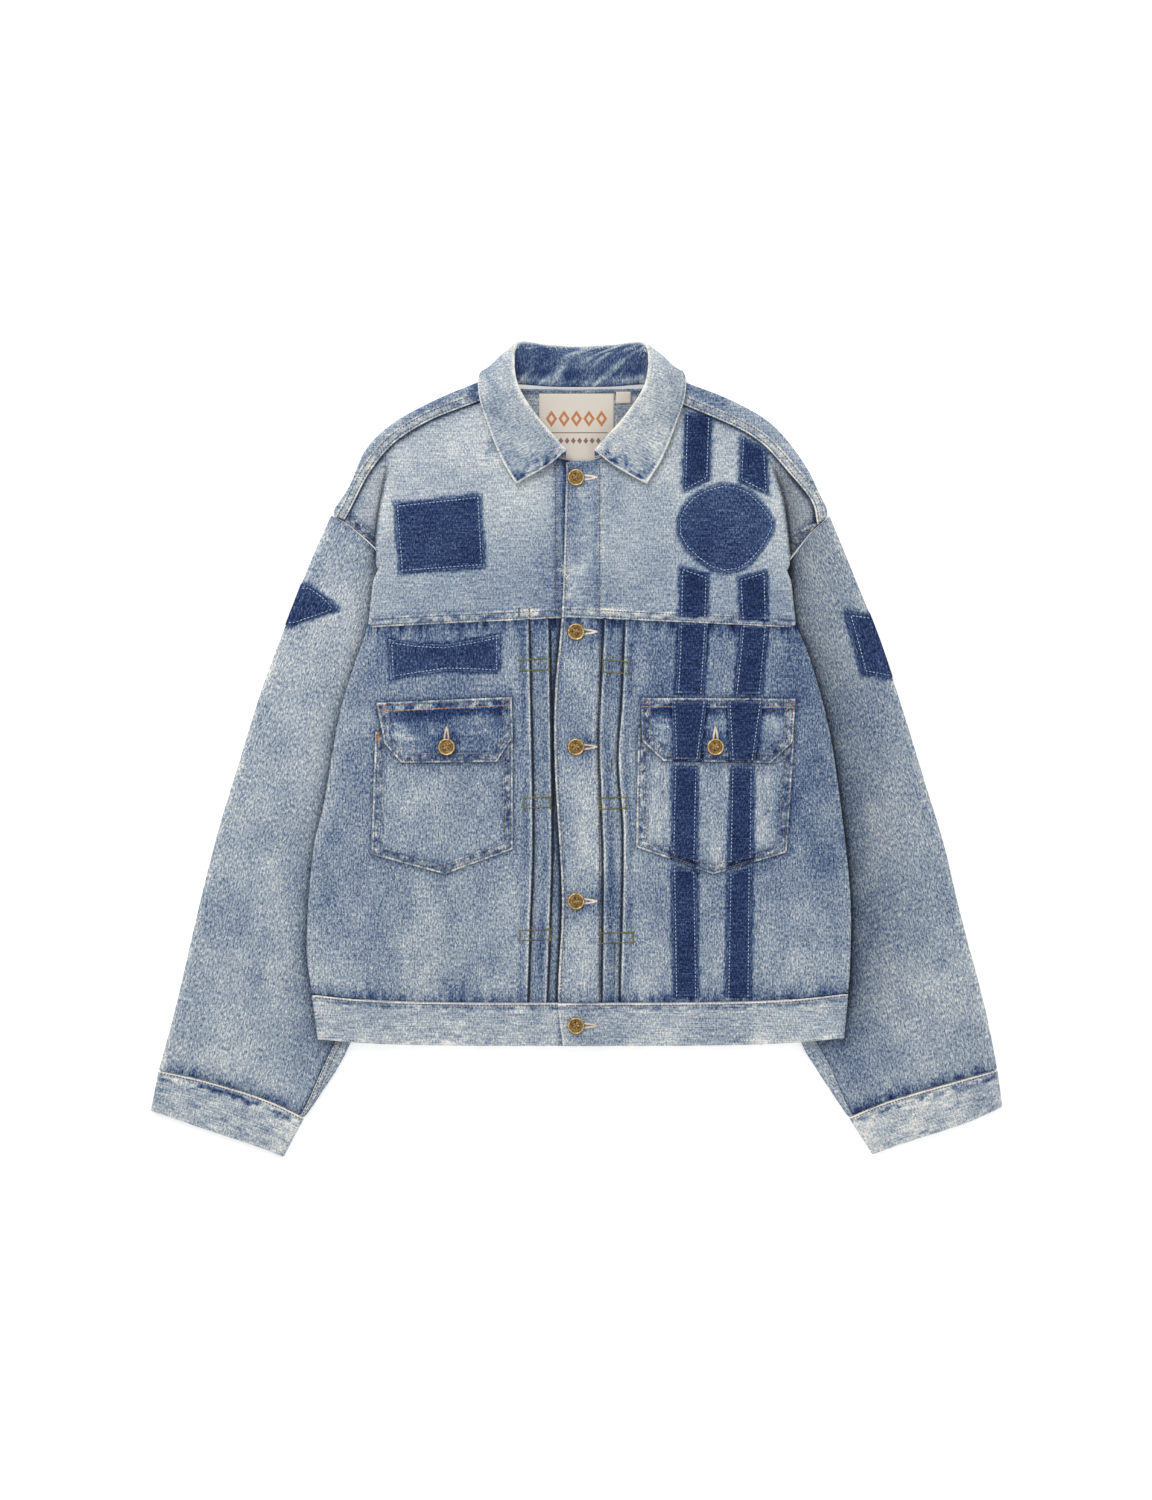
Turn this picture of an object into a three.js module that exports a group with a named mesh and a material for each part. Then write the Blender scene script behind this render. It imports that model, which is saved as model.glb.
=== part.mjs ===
// A patched denim jacket, laid flat on its back with the sleeves drawn in beside the body.
// Millimetres. +X is the wearer's left, +Y runs towards the collar, +Z is up, and the jacket lies on z = 0.
// "Out" is the distance from the centre front towards one side, so out = side * x, where side is
// +1 on the wearer's left and -1 on the wearer's right.
import * as THREE from "three";

// Cloth
const CLOTH = 1.5; // wall of one layer of denim
const BAND = 2.6; // waistband, two layers and their turnings
const CUFF = 2.4;
const COLLAR = 2.4;
const PATCH = 1.0;
const GAP = 0.4; // between pieces that meet at a seam or lie on each other

// Heights of the middle of each layer, as the jacket lies
const FLOOR_LAYER = CLOTH / 2; // back panel and lower half of the sleeves
const SLEEVE_HEAD_RADIUS = 1.9; // turn of the sleeve's folded edge at the armhole
const SLEEVE_RADIUS = 2.55; // and from the upper arm down
const FRONT_LAYER = 5.75; // fronts, where only the back is under them
const BACK_RISE = 7.0; // how far the back climbs over the sleeve
const FRONT_RISE = 6.5;
const SIDE_RADIUS = 2.25; // turn of the body's folded edge
const SHOULDER_RADIUS = 3.5;
const RISE_WIDTH = 80; // how gently the body climbs over the sleeve
const RISE_MARGIN = 12; // the climb ends this far inside the sleeve's edge
const OVERLAP_LIFT = 2.1; // the left front lies on the right front
const PLEAT_LIFT = 2.2;
const PLEAT_RUN = 13; // from a pleat's folded edge back down to the panel
const PLEAT_EDGE = 0.7; // half the width of the step at a pleat's edge
const RETURN = 9; // cloth turned under at a folded edge, up to the seam
const NECK_LIFT = 2.4; // the back panel rises to the collar seam

// Fastenings
const BUTTON_RADIUS = 8.6;
const BUTTON_HEIGHTS = [272, 118, 3, -151, -275]; // centres down the front
const BUTTON_LINE = 0;
const FLAP_BUTTON_OUT = { right: 129, left: 139 };
const FLAP_BUTTON_HEIGHT = 3;

const looks = {
  denim: look(0x93a6b8, 0.9),
  patch: look(0x2f4368, 0.95),
  ecru: look(0xd8cfb4, 0.85),
  brass: look(0x8d7a4f, 0.45, 0.9),
};

function look(color, roughness, metalness = 0) {
  return new THREE.MeshStandardMaterial({ color, roughness, metalness });
}

// ---- small tools

const mix = (a, b, t) => a + (b - a) * t;
const clamp01 = (t) => Math.min(1, Math.max(0, t));
const smooth = (t) => clamp01(t) ** 2 * (3 - 2 * clamp01(t));

// A smooth function through [at, value] pairs, level beyond its ends.
function through(pairs) {
  const p = [...pairs].sort((a, b) => a[0] - b[0]);
  const slope = (i) => {
    const a = p[Math.max(0, i - 1)];
    const b = p[Math.min(p.length - 1, i + 1)];
    return (b[1] - a[1]) / (b[0] - a[0]);
  };
  return (at) => {
    if (at <= p[0][0]) return p[0][1];
    if (at >= p[p.length - 1][0]) return p[p.length - 1][1];
    const i = p.findIndex((pair) => pair[0] > at) - 1;
    const h = p[i + 1][0] - p[i][0];
    const t = (at - p[i][0]) / h;
    const start = p[i][1] * (1 + 2 * t) * (1 - t) ** 2 + slope(i) * h * t * (1 - t) ** 2;
    const end = p[i + 1][1] * t * t * (3 - 2 * t) + slope(i + 1) * h * t * t * (t - 1);
    return start + end;
  };
}

// A function made of straight stretches through [at, value] pairs, level beyond its ends.
function straightThrough(pairs) {
  const p = [...pairs].sort((a, b) => a[0] - b[0]);
  return (at) => {
    if (at >= p.at(-1)[0]) return p.at(-1)[1];
    const i = Math.max(1, p.findIndex((pair) => pair[0] > at));
    const [a, b] = [p[i - 1], p[i]];
    return mix(a[1], b[1], clamp01((at - a[0]) / (b[0] - a[0])));
  };
}

// A smooth curve through points, asked for by its share of the length; it runs on straight past its ends.
function curve(points) {
  const list = points.map(([x, y, z = 0]) => new THREE.Vector3(x, y, z));
  const path = new THREE.CatmullRomCurve3(list, false, "centripetal");
  const length = path.getLength();
  return (t) => {
    const inside = clamp01(t);
    return path.getPointAt(inside).addScaledVector(path.getTangentAt(inside), (t - inside) * length);
  };
}

// A curve made of straight stretches, asked for by its share of the length.
function stretches(points) {
  const path = new THREE.CurvePath();
  for (let i = 1; i < points.length; i++) {
    const [a, b] = [points[i - 1], points[i]];
    path.add(new THREE.LineCurve3(new THREE.Vector3(...a, 0), new THREE.Vector3(...b, 0)));
  }
  return (t) => path.getPointAt(clamp01(t));
}

// The sheet that four curves span: low and high run along u, near and far along v.
function span(low, high, near, far) {
  const corners = [low(0), low(1), high(0), high(1)];
  return (u, v) => {
    const across = low(u).lerp(high(u), v);
    const along = near(v).lerp(far(v), u);
    const ends = corners[0].clone().lerp(corners[1], u);
    return across.add(along).sub(ends.lerp(corners[2].clone().lerp(corners[3], u), v));
  };
}

// Where a cloth turned round a folded edge lies: s is measured along the cloth from the edge, and is
// positive on the upper layer. Gives how far in from the edge, and how high above the lower layer.
function turned(s, radius, lift = 0, wall = CLOTH) {
  const quarter = (radius * Math.PI) / 2;
  const inset = wall / 2 + radius;
  if (s > quarter) return { inset: inset + s - quarter, height: 2 * radius + lift };
  if (s < -quarter) return { inset: inset - s - quarter, height: -lift };
  const angle = s / radius;
  const reach = radius + lift;
  return { inset: inset - reach * Math.cos(angle), height: radius + reach * Math.sin(angle) };
}

// Places along the cloth, close together round the turn: from -RETURN below to the far end above.
function turnedSteps(radius, upper, steps, under = RETURN) {
  const quarter = (radius * Math.PI) / 2;
  const list = [];
  for (let i = steps; i > 0; i--) list.push(quarter + ((upper - quarter) * i) / steps);
  for (let i = 2; i >= -2; i--) list.push((quarter * i) / 2);
  list.push(-quarter - under);
  return list;
}

// A wall of cloth round a grid of middle points, thickened half to each side along its own normals.
function wall(name, material, rows, columns, thickness, place) {
  const grid = [];
  for (let i = 0; i <= rows; i++) {
    for (let j = 0; j <= columns; j++) grid.push(place(j / columns, i / rows, j, i));
  }
  const within = (value, most) => Math.min(most, Math.max(0, value));
  const at = (i, j) => grid[within(i, rows) * (columns + 1) + within(j, columns)];
  const positions = [];
  for (const half of [thickness / 2, -thickness / 2]) {
    for (let i = 0; i <= rows; i++) {
      for (let j = 0; j <= columns; j++) {
        const along = at(i, j + 1).clone().sub(at(i, j - 1));
        const up = at(i + 1, j).clone().sub(at(i - 1, j));
        const p = along.cross(up).normalize().multiplyScalar(half).add(at(i, j));
        positions.push(p.x, p.y, p.z);
      }
    }
  }
  return closedMesh(name, material, positions, wallFaces(rows, columns));
}

// Triangles of a wall: its upper skin, its lower skin and the rim between them.
function wallFaces(rows, columns) {
  const faces = [];
  const second = (rows + 1) * (columns + 1);
  const id = (i, j) => i * (columns + 1) + j;
  for (let i = 0; i < rows; i++) {
    for (let j = 0; j < columns; j++) {
      const [a, b, c, d] = [id(i, j), id(i, j + 1), id(i + 1, j + 1), id(i + 1, j)];
      faces.push(a, b, c, a, c, d);
      faces.push(second + a, second + c, second + b, second + a, second + d, second + c);
    }
  }
  const rim = [];
  for (let j = 0; j < columns; j++) rim.push(id(0, j));
  for (let i = 0; i < rows; i++) rim.push(id(i, columns));
  for (let j = columns; j > 0; j--) rim.push(id(rows, j));
  for (let i = rows; i > 0; i--) rim.push(id(i, 0));
  rim.forEach((a, k) => {
    const b = rim[(k + 1) % rim.length];
    faces.push(a, second + a, second + b, a, second + b, b);
  });
  return faces;
}

// A mesh from shared points, turned face out if its triangles enclose a negative volume.
function closedMesh(name, material, positions, faces) {
  const corner = (k) => new THREE.Vector3().fromArray(positions, faces[k] * 3);
  let volume = 0;
  for (let k = 0; k < faces.length; k += 3) {
    volume += corner(k).dot(corner(k + 1).cross(corner(k + 2)));
  }
  if (volume < 0) faces.reverse();
  const geometry = new THREE.BufferGeometry();
  geometry.setAttribute("position", new THREE.Float32BufferAttribute(positions, 3));
  geometry.setIndex(faces);
  geometry.computeVertexNormals();
  const mesh = new THREE.Mesh(geometry, material);
  mesh.name = name;
  return mesh;
}

// ---- lines of the garment, each as [y, out] or [out, y]

// The body's folded edge, from the front of the shoulder to the hem.
const bodyEdge = {
  right: through([[280, 188], [237, 196], [202, 200], [138, 206], [114, 211], [89, 220], [36, 236],
    [-55, 252], [-98, 262], [-195, 269], [-242, 264], [-289, 258]]),
  left: through([[290, 193], [251, 206], [192, 214], [131, 219], [93, 233], [24, 252], [-60, 265],
    [-147, 274], [-205, 274], [-240, 272], [-284, 268]]),
};
// The sleeve's inner edge, most of it under the body.
const sleeveInner = {
  right: [[146, 104], [160, 0], [186, -140], [225, -292], [257, -347], [271, -367]],
  left: [[156, 100], [169, 0], [192, -140], [225, -292], [241, -320], [272, -367]],
};
const sleeveOuter = {
  right: [[244, 236], [263, 194], [291, 123], [315, 58], [338, -16], [357, -78], [373, -140],
    [400, -256], [417, -320]],
  left: [[253, 235], [276, 179], [302, 114], [325, 45], [349, -33], [367, -92], [383, -159],
    [410, -263], [421, -319]],
};
// Armhole seam, from the shoulder tip to the underarm.
const armhole = {
  right: [[244, 236], [231, 229], [215, 216], [200, 202], [178, 170], [158, 136], [146, 104]],
  left: [[253, 235], [236, 220], [214, 192], [190, 165], [169, 133], [156, 100]],
};
const cuffSeam = {
  right: [[417, -320], [375, -329], [310, -349], [271, -367]],
  left: [[421, -319], [386, -329], [308, -352], [272, -367]],
};
const cuffHem = {
  right: [[425, -360], [375, -377], [310, -399], [292, -406.5]],
  left: [[426, -356], [393, -371], [320, -395], [296, -404]],
};
// Top of the shoulder, where the back folds over to the front.
const shoulderFold = {
  right: [[92, 370], [140, 350], [185, 325], [210, 300], [226, 264], [244, 237]],
  left: [[102, 370], [156, 349], [196, 325], [229, 284], [242, 258], [253, 236]],
};
// Lower edge of the felled shoulder seam on the front, from the neck to the armhole.
const shoulderSeam = {
  right: [[92, 350], [146, 329], [181, 307], [205, 279], [226, 239], [231, 230]],
  left: [[102, 347], [168, 318], [189, 303], [210, 280], [236, 247], [241, 225]],
};
// Neckline of the front, from the centre front to the shoulder seam.
const neckline = {
  right: [[-12, 289], [12, 290], [36, 301], [58, 322], [70, 338], [78, 348], [104, 345]],
  left: [[-9, 287], [17, 289], [42, 301], [66, 322], [80, 338], [88, 346], [114, 342]],
};
const frontEdge = { // centre front edge, as out at a height
  right: through([[290, -12], [-300, -12]]),
  left: through([[290, -10], [270, -10], [138, -14], [55, -21], [-20, -21], [-151, -14], [-251, -18],
    [-296, -13]]),
};
const pleatInner = {
  right: through([[132, 26], [-90, 23], [-170, 25], [-250, 28]]),
  left: through([[132, 27], [83, 25], [9, 22], [-110, 26], [-250, 25]]),
};
const pleatOuter = {
  right: through([[132, 46], [-90, 42], [-182, 45], [-250, 47]]),
  left: through([[132, 48], [54, 45], [-11, 41], [-83, 46], [-250, 43]]),
};
const yokeSeamAt = (out) => 136.5 - 0.05 * out;
const waistSeamAt = (out) => -252.5 + 10 * (out / 270) ** 4;
const hemAt = (out) => -295.5 + 9 * (out / 270) ** 4;

const sleeveInnerAt = {
  right: through([[290, 162], [202, 158], ...sleeveInner.right.map(([out, y]) => [y, out])]),
  left: through([[290, 172], [192, 168], ...sleeveInner.left.map(([out, y]) => [y, out])]),
};

// ---- heights of the layers

// How far the body has climbed onto the sleeve at a place: 0 beside it, 1 on it.
function climb(side, out, y) {
  return smooth((out - sleeveInnerAt[side](y) + RISE_MARGIN + RISE_WIDTH) / RISE_WIDTH);
}

function backHeight(side, out, y) {
  const onSleeve = climb(side, out, y) * smooth((180 - y) / 55);
  const toNeck = smooth((y - 265) / 95) * smooth((115 - out) / 50);
  return FLOOR_LAYER + BACK_RISE * onSleeve + NECK_LIFT * toNeck;
}

// Rise of one pleat: a sharp step at its folded edge, then a slow run down to the panel.
function pleat(out, edge) {
  const past = out - edge;
  return smooth((past + PLEAT_EDGE) / (2 * PLEAT_EDGE)) * (1 - smooth(past / PLEAT_RUN));
}

function frontHeight(side, out, y) {
  let height = FRONT_LAYER + FRONT_RISE * climb(side, out, y) * smooth((292 - y) / 85);
  if (side === "left") height += OVERLAP_LIFT * smooth((45 - out) / 30);
  if (y < yokeSeamAt(out)) {
    const fade = smooth((yokeSeamAt(out) - y) / 25) * smooth((y - waistSeamAt(out)) / 25);
    const lift = pleat(out, pleatInner[side](y)) + pleat(out, pleatOuter[side](y));
    height += PLEAT_LIFT * lift * mix(0.15, 1, fade);
  }
  if (y > 196) {
    const past = smooth((out - bodyEdge[side](y)) / 12);
    const low = FLOOR_LAYER + 2 * SLEEVE_HEAD_RADIUS;
    height = mix(height, low, Math.max(past, smooth((out - 195) / 35)));
  }
  return height;
}

const sideName = (x) => (x < 0 ? "right" : "left");
const sideSign = { right: -1, left: 1 };
const frontAt = (x, y) => frontHeight(sideName(x), Math.abs(x), y);

// ---- pieces of the body

// Heights up the back panel's side edge at which its rows end: close together round the armhole.
const backRows = [-190, -130, -70, -15, 30, 62, 80, 92, 102, 116, 134, 152, 170, 186, 202, 216, 229, 236];

function backPanel() {
  const rows = backRows.length;
  const wrapRows = 6;
  const edge = {};
  for (const side of ["right", "left"]) {
    const seam = (y) => bodyEdge[side](y) - RETURN - SIDE_RADIUS - CLOTH / 2 - 6 * GAP;
    const hole = armhole[side].map(([out, y]) => [y, out - 7.5 * GAP]);
    const below = [70, 50, 20, -40, -100, -180, -250].map((y) => [y, seam(y)]);
    edge[side] = straightThrough([...hole, [91, 170], [83, seam(83) - 3], ...below]);
  }
  const fold = { right: curve(shoulderFold.right), left: curve(shoulderFold.left) };
  const seam = { right: curve(shoulderSeam.right), left: curve(shoulderSeam.left) };
  return wall("back_panel", looks.denim, rows + wrapRows, 14, CLOTH, (u, v, j, i) => {
    const share = 2 * u - 1;
    const bend = Math.abs(share);
    const side = share < 0 ? "right" : "left";
    const sign = sideSign[side];
    const neck = 1 - smooth((bend - 0.3) / 0.1);
    const along = clamp01((bend - 0.38) / 0.62);
    const top = fold[side](along);
    const tipward = smooth((top.x - 190) / 40);
    const radius = mix(SHOULDER_RADIUS, SLEEVE_HEAD_RADIUS + 1.2, tipward);
    const inset = radius + CLOTH / 2;
    const edgeY = i === 0 ? -243 : backRows[Math.min(i, rows) - 1];
    const level = (edgeY + 243) / (backRows.at(-1) + 243);
    const topOut = mix(top.x, bend * 230, neck);
    const topY = mix(top.y - inset, 354 + 4 * bend, neck);
    const out = mix(bend * edge[side](edgeY), Math.min(topOut, edge[side](edgeY)), smooth(level * 3 - 2));
    const y = mix(waistSeamAt(out) + GAP, topY, level);
    const flat = new THREE.Vector3(sign * out, y, backHeight(side, out, y));
    if (i <= rows) return flat;
    const turnShare = (i - rows) / wrapRows;
    const neckY = topY + 6 * turnShare;
    const atNeck = new THREE.Vector3(sign * topOut, neckY, backHeight(side, topOut, neckY));
    const angle = (Math.min(1, turnShare * 1.5) - 0.5) * Math.PI;
    const turn = new THREE.Vector3(
      sign * Math.min(top.x, edge[side](236)),
      top.y - inset + radius * Math.cos(angle),
      FLOOR_LAYER + radius + radius * Math.sin(angle),
    );
    const front = seam[side](along);
    const seamHeight = frontHeight(side, front.x, front.y) + CLOTH + 2 * GAP;
    const lying = new THREE.Vector3(sign * front.x, front.y, seamHeight);
    return turn.lerp(lying, clamp01(turnShare * 3 - 2)).lerp(atNeck, neck);
  });
}

const UNBOUNDED = 999; // more than any place is out from the centre line

function frontYoke(side) {
  const sign = sideSign[side];
  const low = curve([[frontEdge[side](138), yokeSeamAt(0)], [100, yokeSeamAt(100)],
    [bodyEdge[side](127), yokeSeamAt(bodyEdge[side](127))]]);
  const tucked = shoulderSeam[side].map(([out, y]) => [out + 1, y + 2]); // under the felled seam
  const high = curve([...neckline[side], ...tucked.slice(1)]);
  const near = (v) => {
    const y = mix(yokeSeamAt(0), neckline[side][0][1], v);
    return new THREE.Vector3(frontEdge[side](y), y, 0);
  };
  const outer = armhole[side].filter(([, y]) => y > 185 && y < 232).reverse();
  const far = curve([[bodyEdge[side](127), yokeSeamAt(210)], [bodyEdge[side](160), 160], ...outer,
    tucked.at(-1)]);
  const sheet = span(low, high, near, far);
  const flatColumns = 11;
  const turn = turnedSteps(SIDE_RADIUS, 5, 1);
  const columns = flatColumns + turn.length;
  return wall(side + "_front_yoke", looks.denim, 7, columns, CLOTH, (u, v, j) => {
    const place = sheet(Math.min(1, j / (flatColumns + 1)), v);
    const under = 1 - smooth((place.y - 178) / 20);
    const height = frontHeight(side, place.x, place.y);
    if (j <= flatColumns) {
      const most = mix(UNBOUNDED, far(v).x - 6, under);
      return new THREE.Vector3(sign * Math.min(place.x, most), place.y, height);
    }
    const edge = far(v);
    const { inset, height: rise } = turned(turn[j - flatColumns - 1], SIDE_RADIUS);
    const base = frontHeight(side, edge.x - 6, edge.y) - 2 * SIDE_RADIUS;
    const folded = new THREE.Vector3(sign * (edge.x - inset), edge.y, base + rise);
    const before = sheet(flatColumns / (flatColumns + 1), v);
    const open = before.lerp(edge, (j - flatColumns) / turn.length);
    open.set(sign * open.x, open.y, frontHeight(side, open.x, open.y));
    return open.lerp(folded, under);
  });
}

// Across a front panel: the placket, the two pleats, then evenly out to the folded edge.
function frontColumns(side) {
  const start = [0, 0.34, 0.68].map((t) => (y) => mix(frontEdge[side](y), pleatInner[side](y), t));
  const inner = [-PLEAT_EDGE, PLEAT_EDGE, 9].map((step) => (y) => pleatInner[side](y) + step);
  const outer = [-PLEAT_EDGE, PLEAT_EDGE, 14].map((step) => (y) => pleatOuter[side](y) + step);
  const wide = [1, 2, 3, 4, 5, 6, 7, 8].map((k) => (y) => {
    return mix(pleatOuter[side](y) + 14, bodyEdge[side](y) - 5, k / 8);
  });
  return [...start, ...inner, ...outer, ...wide];
}

function frontPanel(side) {
  const sign = sideSign[side];
  const flat = frontColumns(side);
  const turn = turnedSteps(SIDE_RADIUS, 5, 1).slice(1);
  const columns = flat.length + turn.length - 1;
  return wall(side + "_front_panel", looks.denim, 9, columns, CLOTH, (u, v, j) => {
    const outAt = (y) => (j < flat.length ? flat[j](y) : bodyEdge[side](y));
    let y = 0;
    let out = outAt(-50);
    for (let k = 0; k < 4; k++) {
      y = mix(waistSeamAt(out) + GAP, yokeSeamAt(out) - 2.5 * GAP, v);
      out = outAt(y);
    }
    if (j < flat.length) return new THREE.Vector3(sign * out, y, frontHeight(side, out, y));
    const { inset, height } = turned(turn[j - flat.length], SIDE_RADIUS);
    const base = frontHeight(side, out - 5, y) - 2 * SIDE_RADIUS;
    return new THREE.Vector3(sign * (out - inset), y, base + height);
  });
}

const BAND_LINE = -265; // a height half way down the waistband

function waistbandFront(side) {
  const sign = sideSign[side];
  const radius = SIDE_RADIUS - 0.15;
  const lift = (BAND - CLOTH) / 2;
  const flatColumns = 11;
  const turn = turnedSteps(radius, 6, 1, RETURN - 1).slice(1);
  return wall("waistband_" + side, looks.denim, 2, flatColumns + turn.length, BAND, (u, v, j) => {
    const share = Math.min(1, j / flatColumns);
    const end = bodyEdge[side];
    let out = end(BAND_LINE) * share;
    let y = 0;
    // the band's height and its slanting ends depend on each other, so a few rounds settle both
    for (let k = 0; k < 3; k++) {
      y = mix(hemAt(out), waistSeamAt(out) - GAP / 2, v);
      out = mix(frontEdge[side](y), end(y) - 6, share);
    }
    const flatHeight = (place) => {
      const over = side === "left" ? BAND - CLOTH + 0.3 + OVERLAP_LIFT : 0;
      const plain = FRONT_LAYER + FRONT_RISE * climb(side, place, BAND_LINE);
      return plain + over * smooth((45 - place) / 30) + lift;
    };
    if (j <= flatColumns) return new THREE.Vector3(sign * out, y, flatHeight(out));
    const { inset, height } = turned(turn[j - flatColumns - 1], radius, 0, BAND);
    return new THREE.Vector3(sign * (end(y) - inset), y, flatHeight(end(y) - 6) - 2 * radius + height);
  });
}

function waistbandBack() {
  const columns = 16;
  const lift = (BAND - CLOTH) / 2;
  return wall("waistband_back", looks.denim, 2, columns, BAND, (u, v) => {
    const share = 2 * u - 1;
    const side = share < 0 ? "right" : "left";
    let out = Math.abs(share) * 250;
    let y = 0;
    for (let k = 0; k < 3; k++) {
      y = mix(hemAt(out), waistSeamAt(out) - GAP, v);
      out = Math.abs(share) * (bodyEdge[side](y) - RETURN - SIDE_RADIUS - BAND / 2 - GAP);
    }
    return new THREE.Vector3(sideSign[side] * out, y, backHeight(side, out, BAND_LINE) + lift);
  });
}

// ---- sleeves and cuffs

const sleevePlan = {};
for (const side of ["right", "left"]) {
  const head = curve(armhole[side]);
  const wrist = curve(cuffSeam[side]);
  sleevePlan[side] = span(head, wrist, curve(sleeveOuter[side]), curve(sleeveInner[side]));
}

const sleeveRadiusAt = (t) => mix(SLEEVE_HEAD_RADIUS, SLEEVE_RADIUS, smooth(t * 8));

// A point on the sleeve: t runs from the armhole to the cuff, s along the cloth from the outer edge
// (or, with fromInner, from the inner edge), positive on top, and lift is height above the cloth.
function sleevePoint(side, s, t, lift = 0, fromInner = false) {
  const plan = sleevePlan[side];
  const radius = sleeveRadiusAt(t);
  const width = plan(0, t).distanceTo(plan(1, t));
  const { inset, height } = turned(s, radius, lift);
  const share = inset / width;
  const place = plan(fromInner ? 1 - share : share, t);
  return new THREE.Vector3(sideSign[side] * place.x, place.y, FLOOR_LAYER + height);
}

const SLEEVE_ROWS = 9;
const sleeveWidth = (side, t) => sleevePlan[side](0, t).distanceTo(sleevePlan[side](1, t));
const sleeveSeamInset = (t) => mix(15, 5, smooth((t - 0.85) * 6)); // felled seam beside the inner edge

function sleeveTop(side) {
  return wall(side + "_sleeve_top", looks.denim, SLEEVE_ROWS, 11, CLOTH, (u, v, j) => {
    const t = mix(mix(0.014, 0.003, u), 0.999, v);
    const radius = sleeveRadiusAt(t);
    const turnLength = radius * (Math.PI / 2 - 1) - CLOTH / 2;
    const steps = turnedSteps(radius, sleeveWidth(side, t) - sleeveSeamInset(t) + turnLength, 6);
    return sleevePoint(side, steps[j], t);
  });
}

function sleeveUnder(side) {
  return wall(side + "_sleeve_under", looks.denim, SLEEVE_ROWS, 11, CLOTH, (u, v, j) => {
    const t = mix(mix(0.014, 0.003, u), 0.999, v);
    const radius = sleeveRadiusAt(t);
    const quarter = (radius * Math.PI) / 2;
    const width = sleeveWidth(side, t);
    const end = width - RETURN - 2 * radius - CLOTH - 2 * GAP + quarter;
    const top = sleeveSeamInset(t) - radius - CLOTH / 2 + quarter - GAP;
    const steps = [top, quarter, quarter / 2, 0, -quarter / 2];
    for (let k = 0; k <= 6; k++) steps.push(-mix(quarter, end, k / 6));
    return sleevePoint(side, steps[j], t, 0, true);
  });
}

const CUFF_SHARE = 0.992; // the cuff stops just short of the sleeve's end

function cuff(side) {
  const radius = SLEEVE_RADIUS;
  const low = curve(cuffHem[side]);
  const high = curve(cuffSeam[side]);
  const near = stretches([cuffHem[side][0], cuffSeam[side][0]]);
  const far = stretches([cuffHem[side].at(-1), cuffSeam[side].at(-1)]);
  const plan = span(low, high, near, far);
  return wall(side + "_cuff", looks.denim, 2, 20, CUFF, (u, v, j) => {
    const t = CUFF_SHARE * v;
    const width = plan(0, t).distanceTo(plan(1, t));
    const quarter = (radius * Math.PI) / 2;
    const straight = width - 2 * radius - CUFF;
    const steps = [];
    for (let k = 0; k < 5; k++) steps.push([0, -quarter - mix(straight - 20, 0, k / 5)]);
    for (let k = -2; k <= 2; k++) steps.push([0, (quarter * k) / 2]);
    for (let k = 1; k < 6; k++) steps.push([0, quarter + (straight * k) / 6]);
    for (let k = 2; k >= -2; k--) steps.push([1, (quarter * k) / 2]);
    steps.push([1, -quarter - 19]);
    const [fromInner, s] = steps[j];
    const { inset, height } = turned(s, radius, 0, CUFF);
    const place = plan(fromInner ? 1 - inset / width : inset / width, t);
    return new THREE.Vector3(sideSign[side] * place.x, place.y, CUFF / 2 + height);
  });
}

// ---- collar

const NECK_CENTRE = 4;
// Five lines along half of the collar, from the centre back to its front end, each [out, y, z]
// from the centre of the neck: seam, stand under the roll, roll, fall past the roll, outer edge.
const collarLines = [
  [[0, 362.5, 4.6], [32, 363, 4.6], [60, 365, 6], [78, 364, 12],
    [80, 345, 12], [62, 317, 11], [38, 299, 10.5], [14, 291, 11.5]],
  [[0, 394, 11], [32, 395, 11], [60, 396, 13], [72, 382, 18],
    [69, 357, 18.5], [52, 333, 16], [31, 312, 13.5], [14, 297, 13]],
  [[0, 402, 7.5], [32, 404, 8], [62, 405.5, 13], [66, 386, 23],
    [62, 362, 25], [44, 333, 21], [27, 313, 17.5], [14, 298, 16]],
  [[0, 396, 3.4], [34, 398, 3.4], [74, 396, 7.8], [84, 384, 16],
    [79, 356, 21], [60, 325, 18.5], [42, 303, 15.5], [30, 285, 14]],
  [[0, 367, 2.1], [38, 367, 2.1], [78, 377, 3.6], [99, 377, 7.5],
    [101, 356, 11.5], [91, 322, 10.8], [79, 291, 10.5], [64, 265, 10.3]],
];

function collar() {
  const lines = collarLines.map((half) => {
    const left = half.slice(1).map(([out, y, z]) => [NECK_CENTRE + out * 1.04, y, z]);
    const right = half.slice(1).reverse().map(([out, y, z]) => [NECK_CENTRE - out, y, z]);
    return curve([...right, [NECK_CENTRE, half[0][1], half[0][2]], ...left]);
  });
  return wall("collar", looks.denim, 8, 26, COLLAR, (u, v) => {
    const section = new THREE.CatmullRomCurve3(lines.map((line) => line(u)), false, "centripetal");
    return section.getPoint(v);
  });
}

// ---- pieces sewn on

// A piece lying on the front: its outline is spanned from an upper line to a lower one.
function onFront(name, material, upper, lower, layer, rows, columns, thickness) {
  const top = stretches(upper);
  const bottom = stretches(lower);
  return wall(name, material, rows, columns, thickness, (u, v) => {
    const place = top(u).lerp(bottom(u), v);
    place.z = frontAt(place.x, place.y) + layer;
    return place;
  });
}

const ON_PANEL = CLOTH + 2 * GAP; // middle of a pocket above the middle of the panel
const ON_POCKET = 2 * ON_PANEL + 0.3;
const PATCH_STEP = (CLOTH + PATCH) / 2 + 1.6 * GAP;

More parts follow.
